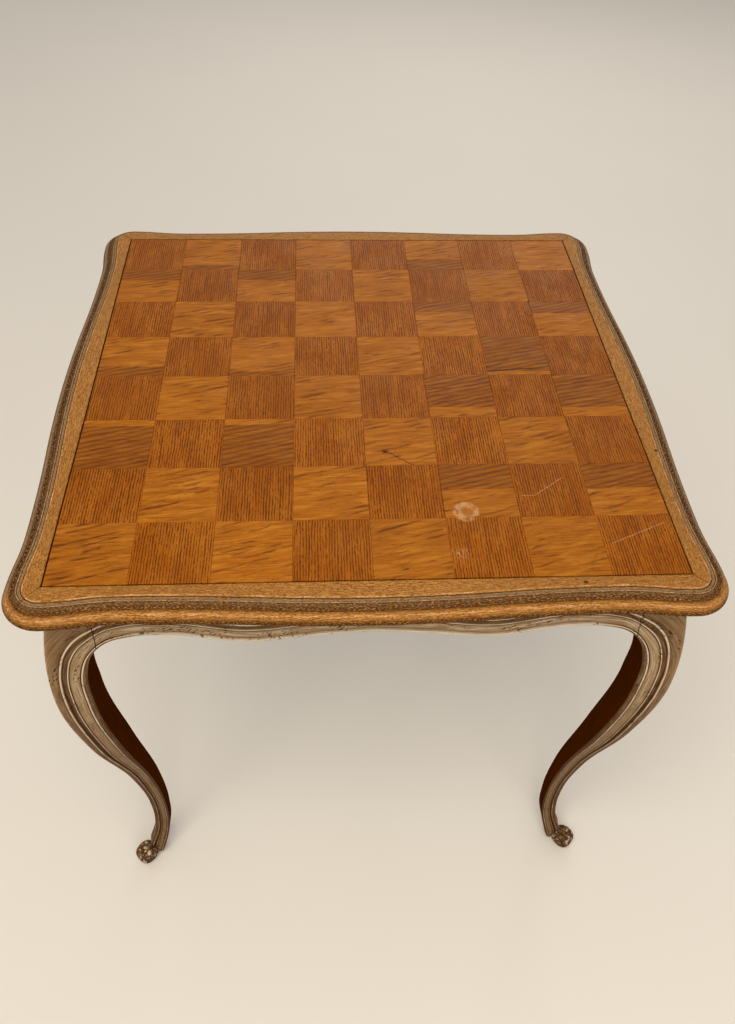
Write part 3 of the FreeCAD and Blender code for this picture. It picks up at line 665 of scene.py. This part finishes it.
def make_piece(bm, name, body, nodes, materials, turn=0.0, sharp=35.0):
    """Closes the mesh, turns it round the table and makes it a piece that stands for CAD nodes."""
    bmesh.ops.remove_doubles(bm, verts=bm.verts, dist=1e-7)
    bmesh.ops.dissolve_degenerate(bm, edges=bm.edges, dist=1e-7)
    bmesh.ops.rotate(bm, verts=bm.verts, cent=(0, 0, 0), matrix=Matrix.Rotation(turn, 3, "Z"))
    bmesh.ops.recalc_face_normals(bm, faces=bm.faces)
    for face in bm.faces:
        face.smooth = True
    mesh = bpy.data.meshes.new(name)
    bm.to_mesh(mesh)
    bm.free()
    mesh.set_sharp_from_angle(angle=math.radians(sharp))
    for material in materials:
        mesh.materials.append(material)
    piece = show(name, mesh)
    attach(piece, body)
    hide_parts(*nodes)
    return piece


def lengths_along(points):
    """The length of a line from its start to each of its points."""
    return np.concatenate([[0], np.cumsum(np.linalg.norm(np.diff(points, axis=0), axis=1))])


def smooth_line(points, step):
    """Points about a step apart on a smooth line through the given ones, as an array."""
    points = np.array(points, float)
    reach = lengths_along(points)
    slopes = np.gradient(points, reach, axis=0, edge_order=2)
    line = []
    for i in range(len(points) - 1):
        span = reach[i + 1] - reach[i]
        pieces = max(2, round(span / step))
        for t in np.arange(pieces) / pieces:
            line.append((2 * t**3 - 3 * t**2 + 1) * points[i] + (t**3 - 2 * t**2 + t) * span * slopes[i]
                        + (3 * t**2 - 2 * t**3) * points[i + 1] + (t**3 - t**2) * span * slopes[i + 1])
    return np.array(line + [points[-1]])


def last_passing(test, low, high):
    """The last value between low and high that passes a test, which low passes and high fails."""
    for _ in range(HALVINGS):
        middle = (low + high) / 2
        if test(middle):
            low = middle
        else:
            high = middle
    return low


FACE_LINE = smooth_line(LEG_FRONT, 1.0)[::-1]
EDGE_LINE = smooth_line(APRON_EDGE + LEG_BACK, 1.0)
CREST_LINE = smooth_line(BEAD_LINE, 1.0)


def face_reach(height):
    """The reach in millimetres of a leg's or an apron's outer face at a height."""
    return float(np.interp(height, FACE_LINE[:, 1], FACE_LINE[:, 0]))


# ---------------------------------------------------------------- frame rails

def outline_stations():
    """Stations of the front side from the left diagonal to the right one, a little past each.

    Each is (side, centre along, centre out, radius, angle, run): a point of the outline is on the
    arc's radius at that angle, and side is -1 on the left half."""
    s = sizes()
    corner = s.square * len(FILES) / 2
    shoulder = corner + s.corner_radius
    long_half = s.hollow_at / 2
    long_rise = (s.bulge - s.hollow) / 2
    long_radius = (long_half**2 + long_rise**2) / (2 * long_rise)
    long_angle = math.asin(long_half / long_radius)
    short_half = (corner - s.hollow_at) / 2
    short_rise = (shoulder - s.hollow) / 2
    short_radius = (short_half**2 + short_rise**2) / (2 * short_rise)
    short_angle = math.asin(short_half / short_radius)
    past_mitre = math.radians(2)
    arcs = (
        (0.0, s.bulge - long_radius, long_radius, 0.0, long_angle, 7),
        (s.hollow_at, s.hollow + long_radius, -long_radius, long_angle, 0.0, 7),
        (s.hollow_at, s.hollow + short_radius, -short_radius, 0.0, -short_angle, 5),
        (corner, shoulder - short_radius, short_radius, -short_angle, 0.0, 5),
        (corner, corner, s.corner_radius, 0.0, math.pi / 4 + past_mitre, 12),
    )
    right = []
    run = 0.0
    for along, out, radius, first, last, steps in arcs:
        for i in range(0 if not right else 1, steps + 1):
            angle = first + (last - first) * i / steps
            if i:
                run += abs(radius * (last - first) / steps)
            right.append((1, along, out, radius, angle, run))
    left = [(-1, *station[1:5], -station[5]) for station in reversed(right[1:])]
    return left + right


def rail_section():
    """Rows of a rail's section: (inset or None, straight reach or None, level, rub, lime).

    A row with no lime of its own is on the roll, which is painted at the back."""
    s = sizes()
    rows = [(inset, None, level, rub, lime) for inset, level, rub, lime in MOULDING_UNDER]
    roll = smooth_line(ROLL, 1.5)
    for i, (inset, level) in enumerate(roll):
        rub = float(np.interp(i / (len(roll) - 1), *ROLL_RUB_AND_LIGHT))
        rows.append((inset, None, level, rub, None))
    rows += [(inset, None, level, rub, lime) for inset, level, rub, lime in MOULDING_UPPER]
    edge = s.rebate_reach / MM
    ledge = s.ledge_reach / MM
    ledge_level = (s.ledge_level - s.top) / MM
    bottom = -s.top_thickness / MM
    ease = 0.4
    rows += [
        (None, edge + ease, 0.0, 0.75, 0.0),
        (None, edge, -ease, 0.3, 0.0),
        (None, edge, ledge_level, 0.5, 0.0),
        (None, ledge, ledge_level, 0.6, 0.0),
        (None, ledge, bottom, 0.5, 0.0),
    ]
    return rows


def build_rail(material, side, turn):
    """One mitred rail: its section is run round the outline, then sawn off on both diagonals."""
    s = sizes()
    rows = rail_section()
    bm = section_mesh()
    section = [(-inset if straight is None else straight - s.bulge / MM, level)
               for inset, straight, level, _, _ in rows]
    across = lengths_along(section)
    turned = Matrix.Rotation(turn, 3, "Z")

    def seat(vertex, row, station):
        half, along, out, radius, angle, run = station
        inset, straight, level, rub, lime = rows[row]
        if straight is None:
            reach = radius - inset * MM
            x, y = along + reach * math.sin(angle), out + reach * math.cos(angle)
        else:
            x, y = along + (straight * MM - out) * math.tan(angle), straight * MM
        place = Vector((half * x, -y, s.top + level * MM))
        if lime is None:
            covered = smooth_share((turned @ place).y, *PAINTED_FROM)
            lime, rub = 0.05 + 0.9 * covered, rub - 0.4 * covered
        dress(bm, vertex, place, rub=rub, lime=lime, run=run + SIDES.index(side) * RAIL_SHIFT,
              across=across[row] * MM)

    run_section(bm, len(rows), outline_stations(), seat)
    for half in (-1, 1):
        outward = Vector((half, 1, 0)).normalized()
        cut = bmesh.ops.bisect_plane(
            bm, geom=bm.verts[:] + bm.edges[:] + bm.faces[:], plane_co=outward * -s.mitre_gap / 2,
            plane_no=outward, clear_outer=True)
        edges = [e for e in cut["geom_cut"] if isinstance(e, bmesh.types.BMEdge)]
        bmesh.ops.edgeloop_fill(bm, edges=edges)
    return make_piece(bm, "moulded_rail_" + side, "table", ["top_rail_" + side], [material],
                      turn, sharp=28)


# ---------------------------------------------------------------- legs and aprons

# Where the crest of the outer bead lies among the rows of the moulded face.
BEAD_CREST = 31.2
# Rows this near a dark line keep close to it where the face narrows, so that the line stays visible.
LINE_REACH = 0.9
# The rounding of the face's far edge, and the (depth, rub) of the row where it starts.
CORNER_ROUND = 2.0
CORNER_ROW = (0.15, 0.66)
# How far the corner between a leg's two faces is eased, and how it is rubbed.
CORNER_EASE = 0.6
CORNER_RUB = 0.72
# The rays over a leg's face swing from upright to square on the edge, and then level, between these runs.
TURN_IN = (0, 70)
LEVEL_OUT = (50, 140)
LONGEST_RAY = 200.0
# How the unmoulded inner faces are rubbed.
INNER_RUB = 0.2


def face_rows(ray, width):
    """Rows on a ray across a moulded face: (distance, depth, rub).

    The ray runs from the inner edge to the far edge, and width is the outer bead's distance."""
    scale = width / BEAD_CREST
    rows = []
    for distance, depth, rub in FACE_ROWS:
        near = [line for line in DARK_LINES if abs(distance - line) < LINE_REACH]
        seat = near[0] * scale + (distance - near[0]) * (1 + scale) / 2 if near else distance * scale
        rows.append((seat, depth * min(1.0, scale), rub))
    end = rows[-1][0]
    corner_round = CORNER_ROUND * min(1.0, scale)
    rows += [(end + (ray - corner_round - end) * share, depth, rub) for share, depth, rub in FIELD_ROWS]
    rows.append((ray - corner_round, *CORNER_ROW))
    return rows


FACE_COUNT = len(FACE_ROWS) + len(FIELD_ROWS) + 1


def leg_stations():
    """Stations down a leg: (edge point, far point, bead distance, run), in millimetres as (reach, height).

    Each is a ray over the leg's face, from its inner edge to the top or to the corner."""
    joint = np.argmin(np.abs(EDGE_LINE - APRON_EDGE[-1]).sum(axis=1))
    line = EDGE_LINE[joint:]
    runs = lengths_along(line)

    def station(run):
        before, edge, after = (
            np.array([np.interp(run + step, runs, line[:, i]) for i in (0, 1)]) for step in (-2, 0, 2))
        tangent = after - before
        square_on = math.atan2(tangent[0], -tangent[1])
        turn_in = smooth_share(run, *TURN_IN)
        level_out = smooth_share(run, *LEVEL_OUT)
        angle = (0.5 * math.pi * (1 - turn_in) + square_on * turn_in) * (1 - level_out)
        return [edge, ray_end(edge, angle), crossing(edge, angle, CREST_LINE), run]

    # Stations lie close together round the knee and at the foot, and wider apart down the shin.
    knee, foot = 140.0, runs[-1] - 90
    on_top = last_passing(lambda run: station(run)[1][1] >= LEG_FRONT[0][1], 0.0, knee)
    places = [*np.arange(0, knee, 3.5), *np.arange(knee, foot, 9.0), *np.arange(foot, runs[-1], 4.0),
              runs[-1]]
    places = sorted([p for p in places if abs(p - on_top) > 1] + [on_top])
    stations = [station(place) for place in places]
    stations[places.index(on_top)][1] = np.array(LEG_FRONT[0], float)
    return stations


def smooth_share(value, start, end):
    """How far a value is from start to end, eased at both."""
    t = min(1.0, max(0.0, (value - start) / (end - start)))
    return t * t * (3 - 2 * t)


def crossing(edge, angle, line):
    """The distance from an edge point along a ray to where it crosses a line."""
    direction = np.array([math.cos(angle), math.sin(angle)])
    offset = line - edge
    side = offset[:, 0] * direction[1] - offset[:, 1] * direction[0]
    along = offset @ direction
    crossed = [i for i in range(len(line) - 1) if side[i] * side[i + 1] <= 0 and along[i] > 0]
    first = min(crossed, key=lambda i: along[i])
    share = side[first] / (side[first] - side[first + 1])
    return float(along[first] + share * (along[first + 1] - along[first]))


def ray_end(edge, angle):
    """Where a ray from the inner edge leaves the face: on the top edge or on the corner."""
    top_reach, top = LEG_FRONT[0]
    direction = np.array([math.cos(angle), math.sin(angle)])
    if direction[1] > 1e-6:
        ray = (top - edge[1]) / direction[1]
        if edge[0] + ray * direction[0] <= top_reach:
            return edge + ray * direction

    def on_face(ray):
        reach, height = edge + ray * direction
        return height < top and reach < face_reach(height)

    return edge + last_passing(on_face, 0.0, LONGEST_RAY) * direction


def build_leg_mesh(shift):
    """A cabriole leg of the front left corner: its ring of rows runs from the joint down to the toe.

    Shift moves the paint's pattern along the leg, so that no two legs are worn alike."""
    bm = section_mesh()
    count = 2 * FACE_COUNT + 4
    inner, tip = count - 1, FACE_COUNT + 1
    top = LEG_FRONT[0][1]

    def seat(vertex, row, station):
        edge, far, bead, run = station
        ray = float(np.linalg.norm(far - edge))
        if row == inner:
            sides, height, rub, across = (edge[0], edge[0]), edge[1], INNER_RUB, 0.0
        elif abs(row - tip) <= 1:
            height, rub, across = far[1], CORNER_RUB, ray * MM
            reach = face_reach(height)
            if abs(height - top) < 1e-6:
                sides = ((far[0], reach), (far[0], far[0]), (reach, far[0]))[row - FACE_COUNT]
            else:
                sides = (reach - CORNER_EASE, reach - CORNER_EASE)
        else:
            mirrored = row > tip
            distance, depth, rub = face_rows(ray, bead)[2 * tip - row if mirrored else row]
            point, height = edge + (far - edge) * distance / ray
            reach = face_reach(height) - depth
            sides = (reach, point) if mirrored else (point, reach)
            across = distance * MM + mirrored
        dress(bm, vertex, Vector((-sides[0], -sides[1], height)) * MM, rub=rub, run=run * MM + shift,
              across=across)

    first, last = run_section(bm, count, leg_stations(), seat)
    number = bm.verts.layers.int["row"]
    start = {v[number]: v for e in first for v in e.verts}
    split = bm.edges.new((start[inner], start[tip]))
    near = [e for e in first if all(v[number] <= tip or v[number] == inner for v in e.verts)]
    other = [e for e in first if e not in near]
    bmesh.ops.contextual_create(bm, geom=near + [split])
    bmesh.ops.contextual_create(bm, geom=other + [split])
    bmesh.ops.contextual_create(bm, geom=last)
    for face in bm.faces:
        face.material_index = int(any(v[number] == inner for v in face.verts))
    return bm


def add_toe(bm):
    """The rolled toe: a fluted drum with a small volute on each end, spun across the leg's diagonal."""
    s = sizes()
    half = s.toe_width / 2
    # The flutes' places and half width are shares of the drum's half width.
    flutes, flute_half, flute_depth = (-0.5, 0.0, 0.5), 0.09, 1.1 * MM
    steps, turn_steps = 44, 36
    # The volute on each end, from its eye outwards: (radius, how far it stands out), in millimetres.
    eye = ((0.0, 0.3), (2.4, 0.35), (3.2, -0.5), (4.2, -0.9), (5.2, 0.2), (7.4, 0.5), (8.4, -0.5),
           (9.4, -0.8), (10.4, 0.1), (12.4, 0.0))
    profile = [(-half - bulge * MM, radius * MM, 0.45 + 0.4 * bulge) for radius, bulge in eye]
    for i in range(1, steps):
        share = 2 * i / steps - 1
        cut = max(0.0, *(1 - abs(share - flute) / flute_half for flute in flutes))
        crown = math.sqrt(1 - abs(share) ** 3 * 0.46)
        profile.append((share * half, (s.toe_radius - flute_depth * cut) * crown, 0.72 - 0.72 * cut))
    profile += [(-a, r, rub) for a, r, rub in reversed(profile[:len(eye)])]
    rows = bm.verts.layers.int["row"]
    verts = []
    for along, radius, rub in profile:
        vertex = bm.verts.new((along, 0, radius))
        vertex[rows] = 0
        vertex[bm.verts.layers.float["rub"]] = rub
        verts.append(vertex)
    edges = [bm.edges.new(pair) for pair in zip(verts, verts[1:])]
    before = set(bm.faces)
    bmesh.ops.spin(bm, geom=verts + edges, cent=(0, 0, 0), axis=(1, 0, 0), dvec=(0, 0, 0),
                   angle=2 * math.pi, steps=turn_steps, use_merge=True, use_duplicate=False)
    drum = {v for f in bm.faces if f not in before for v in f.verts}
    bmesh.ops.remove_doubles(bm, verts=list(drum), dist=1e-6)
    drum = {v for f in bm.faces if f not in before for v in f.verts}
    for vertex in drum:
        vertex[bm.verts.layers.float["run"]] = abs(math.atan2(vertex.co.y, vertex.co.z)) * s.toe_radius
        vertex[bm.verts.layers.float["across"]] = vertex.co.x
        vertex[bm.verts.layers.float["lime"]] = 1.0
    bmesh.ops.rotate(bm, verts=list(drum), cent=(0, 0, 0), matrix=Matrix.Rotation(-math.pi / 4, 3, "Z"))
    bmesh.ops.translate(bm, verts=list(drum), vec=(-s.toe_reach, -s.toe_reach, s.toe_radius))


def build_apron_mesh(shift):
    """The front apron: its rows follow the shaped lower edge from one leg to the other."""
    s = sizes()
    bm = section_mesh()
    count = FACE_COUNT + 4
    end = APRON_EDGE[-1][0]
    line, bead = (part[:int(np.argmax(part[:, 0] > end + 2))] for part in (EDGE_LINE, CREST_LINE))
    half = end - s.joint_gap / MM
    top = LEG_FRONT[0][1]
    inside = s.apron_inside / MM
    steps = 52
    stations = [half * i / steps for i in range(-steps, steps + 1)]

    def seat(vertex, row, station):
        along = abs(station)
        low = float(np.interp(along, line[:, 0], line[:, 1]))
        width = float(np.interp(along, bead[:, 0], bead[:, 1])) - low
        if row < FACE_COUNT:
            distance, depth, rub = face_rows(top - low, width)[row]
            point = low + distance
            place = (station, -(face_reach(point) - depth), point)
            if distance < DARK_LINES[0] + 1.0:
                # Along an apron the lower edge is painted pale, its downward rows too: rubbed paint together
                # with a painted highlight along the edge. The dark line above it is half filled.
                rubbed = 1.0 if distance < 7.1 else 0.3
                rub += (rubbed - rub) * smooth_share(half - along, 0, 70)
        else:
            rub, distance = INNER_RUB, 0.0
            place = {
                FACE_COUNT: (station, -face_reach(top), top),
                FACE_COUNT + 1: (station, -inside, top),
                FACE_COUNT + 2: (station, -inside, low),
                FACE_COUNT + 3: (station, -(face_reach(low) + inside) / 2, low),
            }[row]
        dress(bm, vertex, Vector(place) * MM, rub=rub, run=station * MM + shift, across=distance * MM)

    first, last = run_section(bm, count, stations, seat)
    number = bm.verts.layers.int["row"]
    for face in bm.faces:
        face.material_index = int(any(v[number] > FACE_COUNT for v in face.verts))
    bmesh.ops.contextual_create(bm, geom=first)
    bmesh.ops.contextual_create(bm, geom=last)
    return bm


# ---------------------------------------------------------------- board

def build_squares(materials, rank):
    """The light and the dark squares of one rank, each cut a little differently."""
    for name, slot_name in (("dark", "brown_oak"), ("light", "golden_oak")):
        bm = bmesh.new()
        layers = [bm.verts.layers.float.new("cut"), bm.verts.layers.float.new("tone")]
        rng = random.Random(rank * 2 + (name == "dark"))
        for file in FILES:
            if ((rank + file) % 2 == 0) != (name == "light"):
                continue
            for near, far, tone in strips(rank, file, rng):
                add_strip(bm, layers, rank, file, near, far, tone, rng)
        make_piece(bm, "%s_veneers_rank_%d" % (name, rank), "board",
                   ["%s_squares_rank_%d" % (name, rank)], [materials[name]])


def strips(rank, file, rng):
    """The strips of a square as (near share, far share, tone)."""
    if (rank, file) not in TWO_STRIP_SQUARES:
        return [(0.0, 1.0, rng.uniform(0.0, 0.22))]
    share, dark = TWO_STRIP_SQUARES[(rank, file)]
    tones = {"near": (0.72, 0.05), "far": (0.05, 0.72)}[dark]
    return [(0.0, share, tones[0]), (share, 1.0, tones[1])]


def add_strip(bm, layers, rank, file, near, far, tone, rng):
    """One veneer strip with softened edges, sunk by a hair so that neighbours catch the light."""
    s = sizes()
    half = s.square * len(FILES) / 2
    width = s.square - s.seam
    depth = s.square * (far - near) - s.seam
    sunk = rng.uniform(0.0, 0.00012)
    place = Vector((
        (file - 0.5) * s.square - half,
        (rank - 1 + (near + far) / 2) * s.square - half,
        s.top - s.square_thickness / 2 - sunk / 2,
    ))
    scale = Matrix.Diagonal((width, depth, s.square_thickness - sunk, 1))
    made = bmesh.ops.create_cube(bm, size=1.0, matrix=Matrix.Translation(place) @ scale)["verts"]
    cut = rng.uniform(-1, 1)
    for vertex in made:
        vertex[layers[0]] = cut
        vertex[layers[1]] = tone
    edges = {e for v in made for e in v.link_edges}
    bmesh.ops.bevel(bm, geom=list(edges), offset=s.square_round, segments=1, profile=0.5, affect="EDGES",
                    material=-1)


# ---------------------------------------------------------------- operators

class GAMESTABLE_OT_rails(bpy.types.Operator):
    """Make the four mitred and moulded rails of the frame"""
    bl_idname = "games_table.rails"
    bl_label = "Frame Rails"

    def execute(self, context):
        material = rail_oak()
        for number, side in enumerate(SIDES):
            build_rail(material, side, number * math.pi / 2)
        return {"FINISHED"}


class GAMESTABLE_OT_legs(bpy.types.Operator):
    """Make the four cabriole legs with their rolled toes"""
    bl_idname = "games_table.legs"
    bl_label = "Cabriole Legs"

    def execute(self, context):
        materials = painted_finishes()
        for number, corner in enumerate(CORNERS):
            bm = build_leg_mesh(number * LEG_SHIFT)
            add_toe(bm)
            make_piece(bm, "cabriole_leg_" + corner, "table", ["leg_" + corner], materials,
                       number * math.pi / 2)
        return {"FINISHED"}


class GAMESTABLE_OT_aprons(bpy.types.Operator):
    """Make the four shaped aprons"""
    bl_idname = "games_table.aprons"
    bl_label = "Aprons"

    def execute(self, context):
        materials = painted_finishes()
        for number, side in enumerate(SIDES):
            bm = build_apron_mesh(FIRST_APRON_SHIFT + number * APRON_SHIFT)
            make_piece(bm, "shaped_apron_" + side, "table", ["apron_" + side], materials,
                       number * math.pi / 2)
        return {"FINISHED"}


class GAMESTABLE_OT_squares(bpy.types.Operator):
    """Make the sixty-four squares of the board"""
    bl_idname = "games_table.squares"
    bl_label = "Board Squares"

    def execute(self, context):
        materials = {"light": golden_oak(), "dark": brown_oak()}
        for rank in RANKS:
            build_squares(materials, rank)
        return {"FINISHED"}


# The cloth, in metres: its thickness, how far its middle stands off the core, and its unevenness.
CLOTH_THICKNESS = 0.0009
CLOTH_RAISE = 0.0004
CLOTH_WAVER = 0.0001


class GAMESTABLE_OT_baize(bpy.types.Operator):
    """Make the baize under the board"""
    bl_idname = "games_table.baize"
    bl_label = "Baize"

    def execute(self, context):
        low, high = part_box("board_baize")
        side = high.x - low.x
        bm = bmesh.new()
        bmesh.ops.create_grid(bm, x_segments=40, y_segments=40, size=side / 2)
        rng = random.Random(7)
        for vertex in bm.verts:
            vertex.co.z = rng.uniform(-CLOTH_WAVER, CLOTH_WAVER)
        bmesh.ops.translate(bm, verts=bm.verts, vec=(0, 0, (low.z + high.z) / 2 + CLOTH_RAISE))
        bmesh.ops.solidify(bm, geom=bm.faces[:], thickness=CLOTH_THICKNESS)
        cloth = make_piece(bm, "baize_sheet", "board", ["board_baize"], [wool_baize()])
        return {"FINISHED"}


class GAMESTABLE_OT_fixings(bpy.types.Operator):
    """Give the core, lippings, braces, splines and screws their finishes"""
    bl_idname = "games_table.fixings"
    bl_label = "Core, Braces and Fixings"

    def execute(self, context):
        finishes = {"birch_plywood": birch_ply(), "oak_lipping": lipping_oak(), "beech_block": beech(),
                    "steel_screw": steel()}
        for part in frame["record"]["subparts"]:
            if part["material_slot"] in finishes:
                node = frame["nodes"][part["node"]]
                node.data.materials.clear()
                node.data.materials.append(finishes[part["material_slot"]])
        return {"FINISHED"}


WORLD_TINT = (1.0, 0.96, 0.90, 1)
WORLD_STRENGTH = 0.55
# Area lights: (name, place, size in metres, watts, tint); all face a point inside the table.
LIGHTS = (
    ("key", (-0.5, -1.3, 2.9), 1.6, 46.0, (1.0, 0.90, 0.76)),
    ("front_fill", (0.6, -3.0, 1.5), 1.8, 26.0, (1.0, 0.93, 0.84)),
    ("back_fill", (0.8, 3.2, 2.6), 2.6, 26.0, (1.0, 0.97, 0.93)),
)
AIM = (0, 0, 0.5)
CAMERA_PLACE = (-0.0596, -0.9246, 1.4694)
CAMERA_TURN = (42.71, -1.86, -2.89)
CAMERA_LENS = 30.13


class GAMESTABLE_OT_stage(bpy.types.Operator):
    """Make the floor, the lights and the camera"""
    bl_idname = "games_table.stage"
    bl_label = "Stage"

    def execute(self, context):
        scene = context.scene
        bm = bmesh.new()
        bmesh.ops.create_grid(bm, x_segments=1, y_segments=1, size=12.0)
        mesh = bpy.data.meshes.new("floor")
        bm.to_mesh(mesh)
        bm.free()
        mesh.materials.append(floor_finish())
        floor = show("floor", mesh)
        world = bpy.data.worlds.new("studio")
        world.use_nodes = True
        sky = world.node_tree.nodes["Background"].inputs
        sky["Color"].default_value = WORLD_TINT
        sky["Strength"].default_value = WORLD_STRENGTH
        scene.world = world
        for name, place, size, energy, tint in LIGHTS:
            lamp = bpy.data.lights.new(name, "AREA")
            lamp.size = size
            lamp.energy = energy
            lamp.color = tint
            light = show(name, lamp)
            light.location = place
            light.rotation_euler = (Vector(AIM) - Vector(place)).to_track_quat("-Z", "Y").to_euler()
        lens = bpy.data.cameras.new("camera")
        lens.lens = CAMERA_LENS
        camera = show("camera", lens)
        camera.location = CAMERA_PLACE
        camera.rotation_euler = [math.radians(a) for a in CAMERA_TURN]
        scene.camera = camera
        scene.view_settings.view_transform = "Standard"
        return {"FINISHED"}


OPERATORS = (GAMESTABLE_OT_stage, GAMESTABLE_OT_rails, GAMESTABLE_OT_legs, GAMESTABLE_OT_aprons,
             GAMESTABLE_OT_squares, GAMESTABLE_OT_baize, GAMESTABLE_OT_fixings)


class GAMESTABLE_PT_panel(bpy.types.Panel):
    """Lists the makers of the table's pieces"""
    bl_idname = "GAMESTABLE_PT_panel"
    bl_label = "Games Table"
    bl_space_type = "VIEW_3D"
    bl_region_type = "UI"
    bl_category = "Games Table"

    def draw(self, context):
        for operator in OPERATORS:
            self.layout.operator(operator.bl_idname)


CLASSES = (GamesTableSizes, GamesTableColours, *OPERATORS, GAMESTABLE_PT_panel)


def register():
    for item in CLASSES:
        bpy.utils.register_class(item)
    bpy.types.Scene.games_table_sizes = bpy.props.PointerProperty(type=GamesTableSizes)
    bpy.types.Scene.games_table_colours = bpy.props.PointerProperty(type=GamesTableColours)


def unregister():
    del bpy.types.Scene.games_table_colours
    del bpy.types.Scene.games_table_sizes
    for item in reversed(CLASSES):
        bpy.utils.unregister_class(item)


def main():
    register()
    bpy.ops.games_table.stage()
    bpy.ops.games_table.rails()
    bpy.ops.games_table.legs()
    bpy.ops.games_table.aprons()
    bpy.ops.games_table.squares()
    bpy.ops.games_table.baize()
    bpy.ops.games_table.fixings()


if __name__ == "__main__":
    main()
